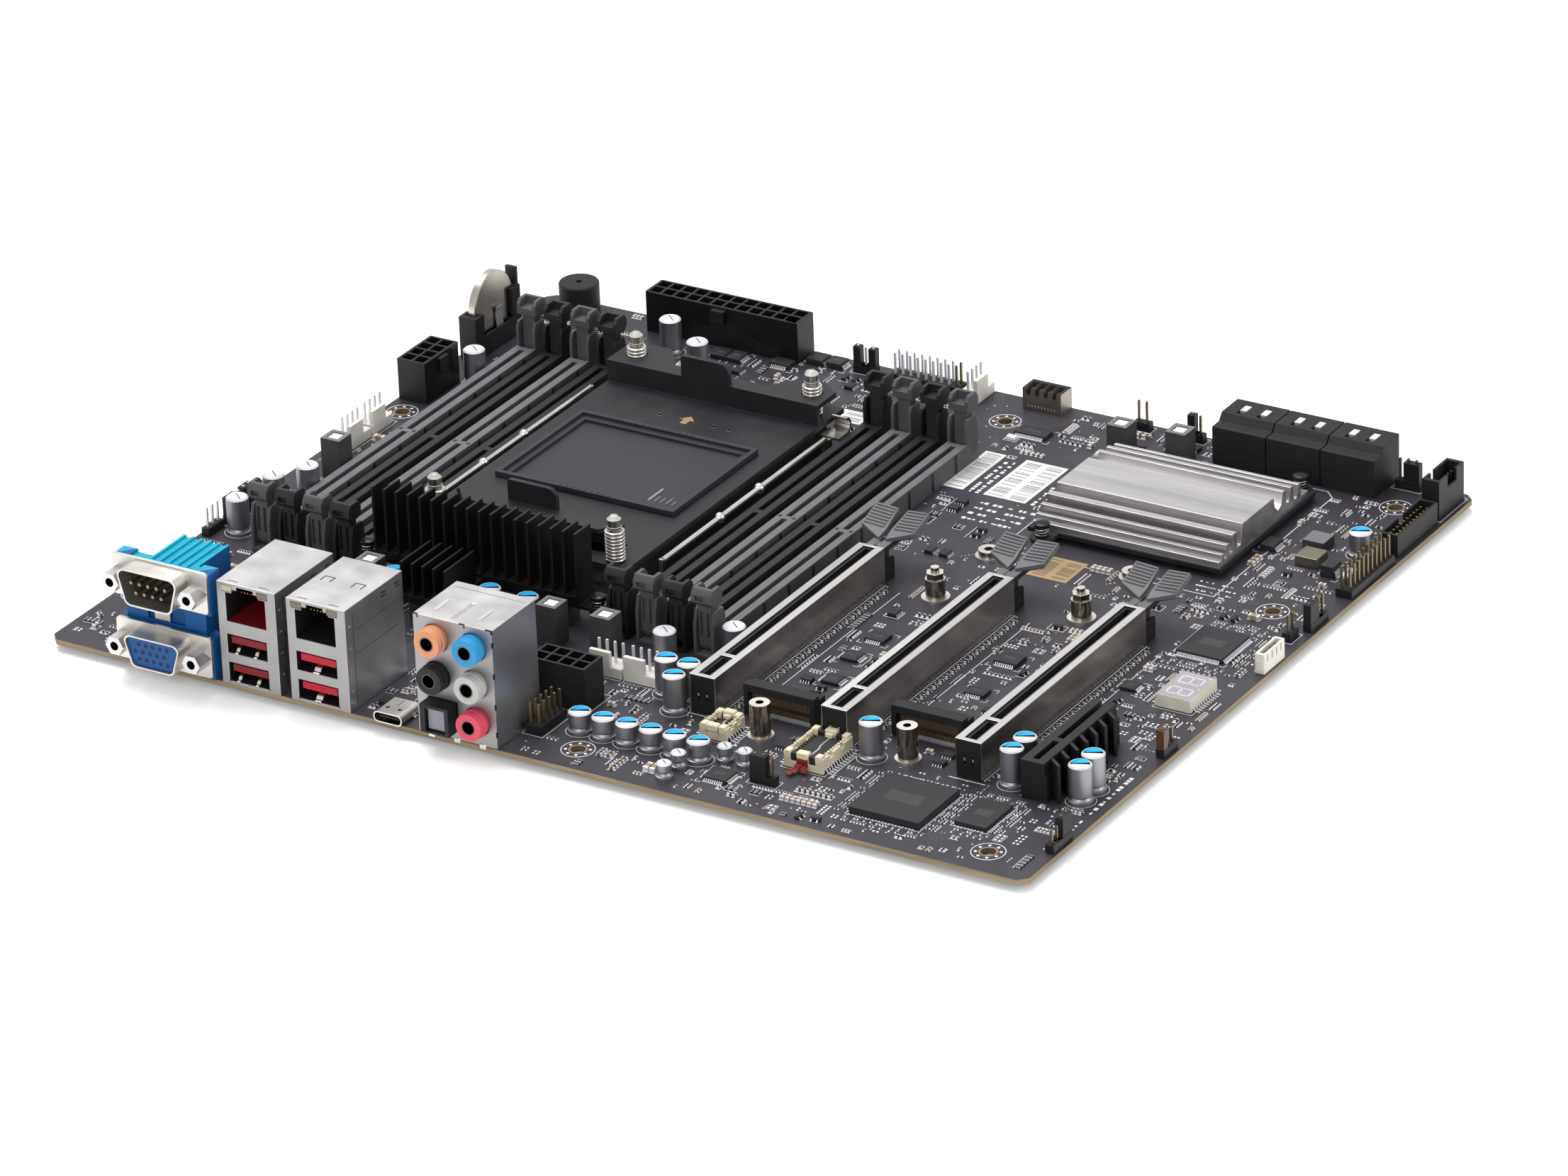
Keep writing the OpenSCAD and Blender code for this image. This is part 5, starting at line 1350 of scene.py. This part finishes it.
def display(parts):
    """Two digits, their points and the leads on both sides."""
    x, y, z = mm_box("post_display")
    for v in (y[0] + 2.2, y[0] + 2.2 + 6.6):
        seven_segments(parts.home(), x[0] + 1.9, v, (z[1] - 0.01, z[1] + 0.02), 6.6, 3.7, "digit_lit")
        parts.at(x[1] - 1.3, v + 4.9, z[1]).lathe([(0.35, 0), (0.32, 0.02), (0, 0.02)], "digit_lit", 10)
    for v in every(1.27, y[0] + 1.8, 10):
        for side, turn in zip(x, (180, 0)):
            parts.at(side, v, TOP, turn)
            parts.lead([(-0.1, 0.9), (0.4, 0.8), (0.6, 0.12), (1.9, 0.12)], 0.5, 0.2, "tin")
    parts.home()
    take(grown(x, 1.8), (y[0] - 1.6, y[1]))


def connector_details():
    """Chips in their sockets, the display's bars, and tongues, tabs and blades of the connectors."""
    parts = Piece()
    for n, (x, y, z) in enumerate(boxes_of("rom_sockets")):
        rom_socket(parts, x, y, z, n > 0)
    display(parts)
    # Bright shields at the far end of the storage ports' top notches, and contact blades in the mouths.
    for x, y, z in boxes_of("sata_ports"):
        for a in (4.05, 10.45):
            parts.block((x[0] + a + 0.05, x[0] + a + 2.15), (y[1] - 6.2, y[1] - 2.75),
                        (z[1] - 1.21, z[1] - 0.12), "tin", 0.08)
        parts.block(grown(x, -0.5), (y[0] - 0.02, y[0] + 0.4), (z[0] + 5.6, z[0] + 5.8), "black_gloss", 0.03)
        for low in (5.94, 11.74):
            for v in every(1.27, x[0] + 3.4, 7):
                parts.block((v, v + 0.7), (y[1] - 6, y[1] - 1.4), (low, low + 0.16), "gold", 0.03)
    # Terminals at the bottom of the power sockets' cells.
    cell = 4.2
    for x, y, z in boxes_of("power_connectors"):
        if size(x) < 8:
            continue
        for cx in every(cell, x[0] + 2.65, round((size(x) - 1.1) / cell)):
            for cy in every(cell, y[0] + 2.5, round((size(y) - 0.8) / cell) if size(y) > 12 else 2):
                if cx <= x[1] and cy <= y[1]:
                    parts.block(about(cx, 0.5), about(cy, 0.5), (6, 10.5), "brass", 0.2)
    # The pale socket's keyways and the pins that show above its outer wall.
    x, y, z = PALE_SOCKET
    for v in every(2.5, y[0] + 1.9, 4):
        parts.block((x[1] - 0.35, x[1] + 0.03), about(v, 0.3), (z[1] - 2.7, z[1] - 0.5), "brass", 0.06)
    for v in (y[0] + 0.5, y[1] - 1.1):
        parts.block((x[0] - 0.03, x[0] + 0.4), (v, v + 0.6), (TOP + 1, z[1] - 0.6), "label_line", 0.05)
        parts.block((x[0] - 0.5, x[0] + 0.3), (v - 0.1, v + 0.7), (TOP, TOP + 0.5), "tin", 0.1)
    parts.block(grown(x, -0.2), (y[0] - 0.14, y[0] + 0.2), (TOP + 0.5, z[1] - 1.8), "white_plastic", 0.1)
    # A raised floor in each fan header, and the battery's contact strips.
    for x, y, z in boxes_of("fan_headers"):
        parts.block(grown(x, -0.3), grown(y, -0.3), (TOP + 2.98, TOP + 3.1), "white_plastic", 0.1)
    x, y, z = mm_box("battery_holder")
    parts.at(mm_box("coin_cell")[0][1] + 0.32, mid(y) + 1.5, 7.6)
    parts.lead([(0.3, -2), (0.4, 0.4), (0.05, 4.4), (0.5, 6.4)], 3.4, 0.25, "steel")
    parts.home()
    for v in (y[0] + 2.2, y[1] - 3.4):
        parts.block((x[1] - 0.02, x[1] + 0.5), (v, v + 1.4), (TOP, TOP + 1.1), "steel", 0.15)
    # Contacts in the slim port's mouth.
    x, y, z = max(boxes_of("usb_c_and_slim_ports"), key=lambda b: b[1][1])
    for v in every(1.05, x[0] + 1.7, 9):
        parts.block((v, v + 0.45), (y[0] - 0.05, y[0] + 0.25), (TOP + 0.6, TOP + 1.5), "steel", 0.06)
    parts.make("connector_details")


def underside():
    """Solder joints round the leads that come through the board, ring pads, screw ends and small parts."""
    joints = Piece()

    def below(x, y, z=0):
        return joints.at(x, y, z, 180, "X")
    x, y, (plate_low, _) = mm_box("cpu_backplate")
    # Parts in the plate's window, in a loose grid.
    for i in range(-7, 8):
        for j in range(-9, 10):
            if (3 * i + j) % 4 and abs(i) + abs(j) > 3:
                kind = (1.6, 0.8, 0.8, "ceramic_brown") if (i + j) % 3 else (1.0, 0.5, 0.5, "ceramic_tan")
                two_ended(below(mid(x) + 2.4 * i, mid(y) + 2.5 * j), *kind)
    for side in grown(x, 6):
        for j, v in enumerate(every(4.1, y[0] + 4, 26)):
            if j % 7:
                two_ended(below(side, v), 1.0, 0.5, 0.4, "resistor")
    for x, y, z in boxes_of("load_studs"):
        if size(x) > 3:
            below(mid(x), mid(y), plate_low)
            joints.lathe([(3.1, 0), (3.0, 0.25), (1.5, 0.25), (1.4, -0.2)], "steel", 28)
            joints.lathe([(1.4, -0.15), (0, -0.15)], "black_gloss", 12)
    for x, y in HOLES:
        below(x, y).lathe([(3.7, 0), (3.65, 0.04), (2.4, 0.04), (2.35, 0)], "tin", 32)
    for x, y, z in boxes_of("solder_tails"):
        below(mid(x), mid(y)).lathe([(1.15, 0), (1.1, 0.04)], "gold", 18)
        joints.lathe([(0.95, 0.03), (0.72, 0.35), (0.56, 0.9), (0.5, 1.5)], "tin", 18)
    joints.make("solder_joints")


# The order matters: each function marks the places it takes, and all share one run of random draws.
take_frame()
hole_rings()
labels()
chip_leads()
cap_prints()
board_prints()
port_details()
audio_details()
slot_details()
socket_details()
connector_details()
underside()
scatter_parts()
scatter_vias()


# ---- camera, light and floor ----

# Camera as solved from the board's holes and corners: radians, board millimetres, lens millimetres
AZIMUTH, ELEVATION, ROLL = 0.5582024517, 0.4580143411, -0.0382342064
CAMERA_PLACE = (1245.754, -1617.069, 1009.503)
SENSOR, LENS = 36, 191.6
# Name, place in metres from the part's middle, width, power of each light
LIGHTS = [("key", (-0.5, 0.3, 1.5), 1.2, 26), ("front", (0.3, -1.6, 0.9), 1.0, 8.5),
          ("right", (1.6, 0.4, 0.7), 0.8, 7)]
WORLD_POWER = 0.75
FLOOR_HALF, FLOOR_CELLS = 2500, 24


def make_camera():
    back = Vector((math.sin(AZIMUTH) * math.cos(ELEVATION), -math.cos(AZIMUTH) * math.cos(ELEVATION),
                   math.sin(ELEVATION)))
    level = Vector((math.cos(AZIMUTH), math.sin(AZIMUTH), 0))
    tilted = back.cross(level)
    right = level * math.cos(ROLL) + tilted * math.sin(ROLL)
    up = tilted * math.cos(ROLL) - level * math.sin(ROLL)
    data = bpy.data.cameras.new("camera")
    data.sensor_width, data.lens = SENSOR, LENS
    data.clip_start, data.clip_end = 0.05, 20
    cam = bpy.data.objects.new("camera", data)
    place = Matrix.Translation(ORIGIN + Vector(CAMERA_PLACE) * MM)
    cam.matrix_world = place @ Matrix((right, up, back)).transposed().to_4x4()
    bpy.context.scene.collection.objects.link(cam)
    bpy.context.scene.camera = cam


def soft_light(name, place, target, width, power):
    data = bpy.data.lights.new(name, "AREA")
    data.shape, data.size, data.energy = "DISK", width, power
    light = bpy.data.objects.new(name, data)
    light.location = place
    light.rotation_euler = (Vector(place) - Vector(target)).to_track_quat("Z", "Y").to_euler()
    bpy.context.scene.collection.objects.link(light)


def make_stage():
    lo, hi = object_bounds()
    centre = (lo + hi) / 2
    floor = Piece()
    c = (centre - ORIGIN) / MM
    low = (lo.z - ORIGIN.z) / MM
    n = FLOOR_CELLS
    rows = [[c[k] + FLOOR_HALF * (2 * i / n - 1) for i in range(n + 1)] for k in (0, 1)]
    quad = (0, 1, n + 2, n + 1)
    floor.add([(x, y, low) for y in rows[1] for x in rows[0]],
              [tuple(j * (n + 1) + i + q for q in quad) for j in range(n) for i in range(n)], "floor")
    made = floor.make("floor")
    made.parent = None
    del made["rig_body"]
    for name, place, width, power in LIGHTS:
        soft_light(name, centre + Vector(place), centre, width, power)
    world = bpy.data.worlds.new("world")
    bpy.context.scene.world = world
    world.use_nodes = True
    background = world.node_tree.nodes["Background"]
    background.inputs["Color"].default_value = (1, 1, 1, 1)
    background.inputs["Strength"].default_value = WORLD_POWER
    bpy.context.scene.view_settings.view_transform = "Standard"


make_camera()
make_stage()
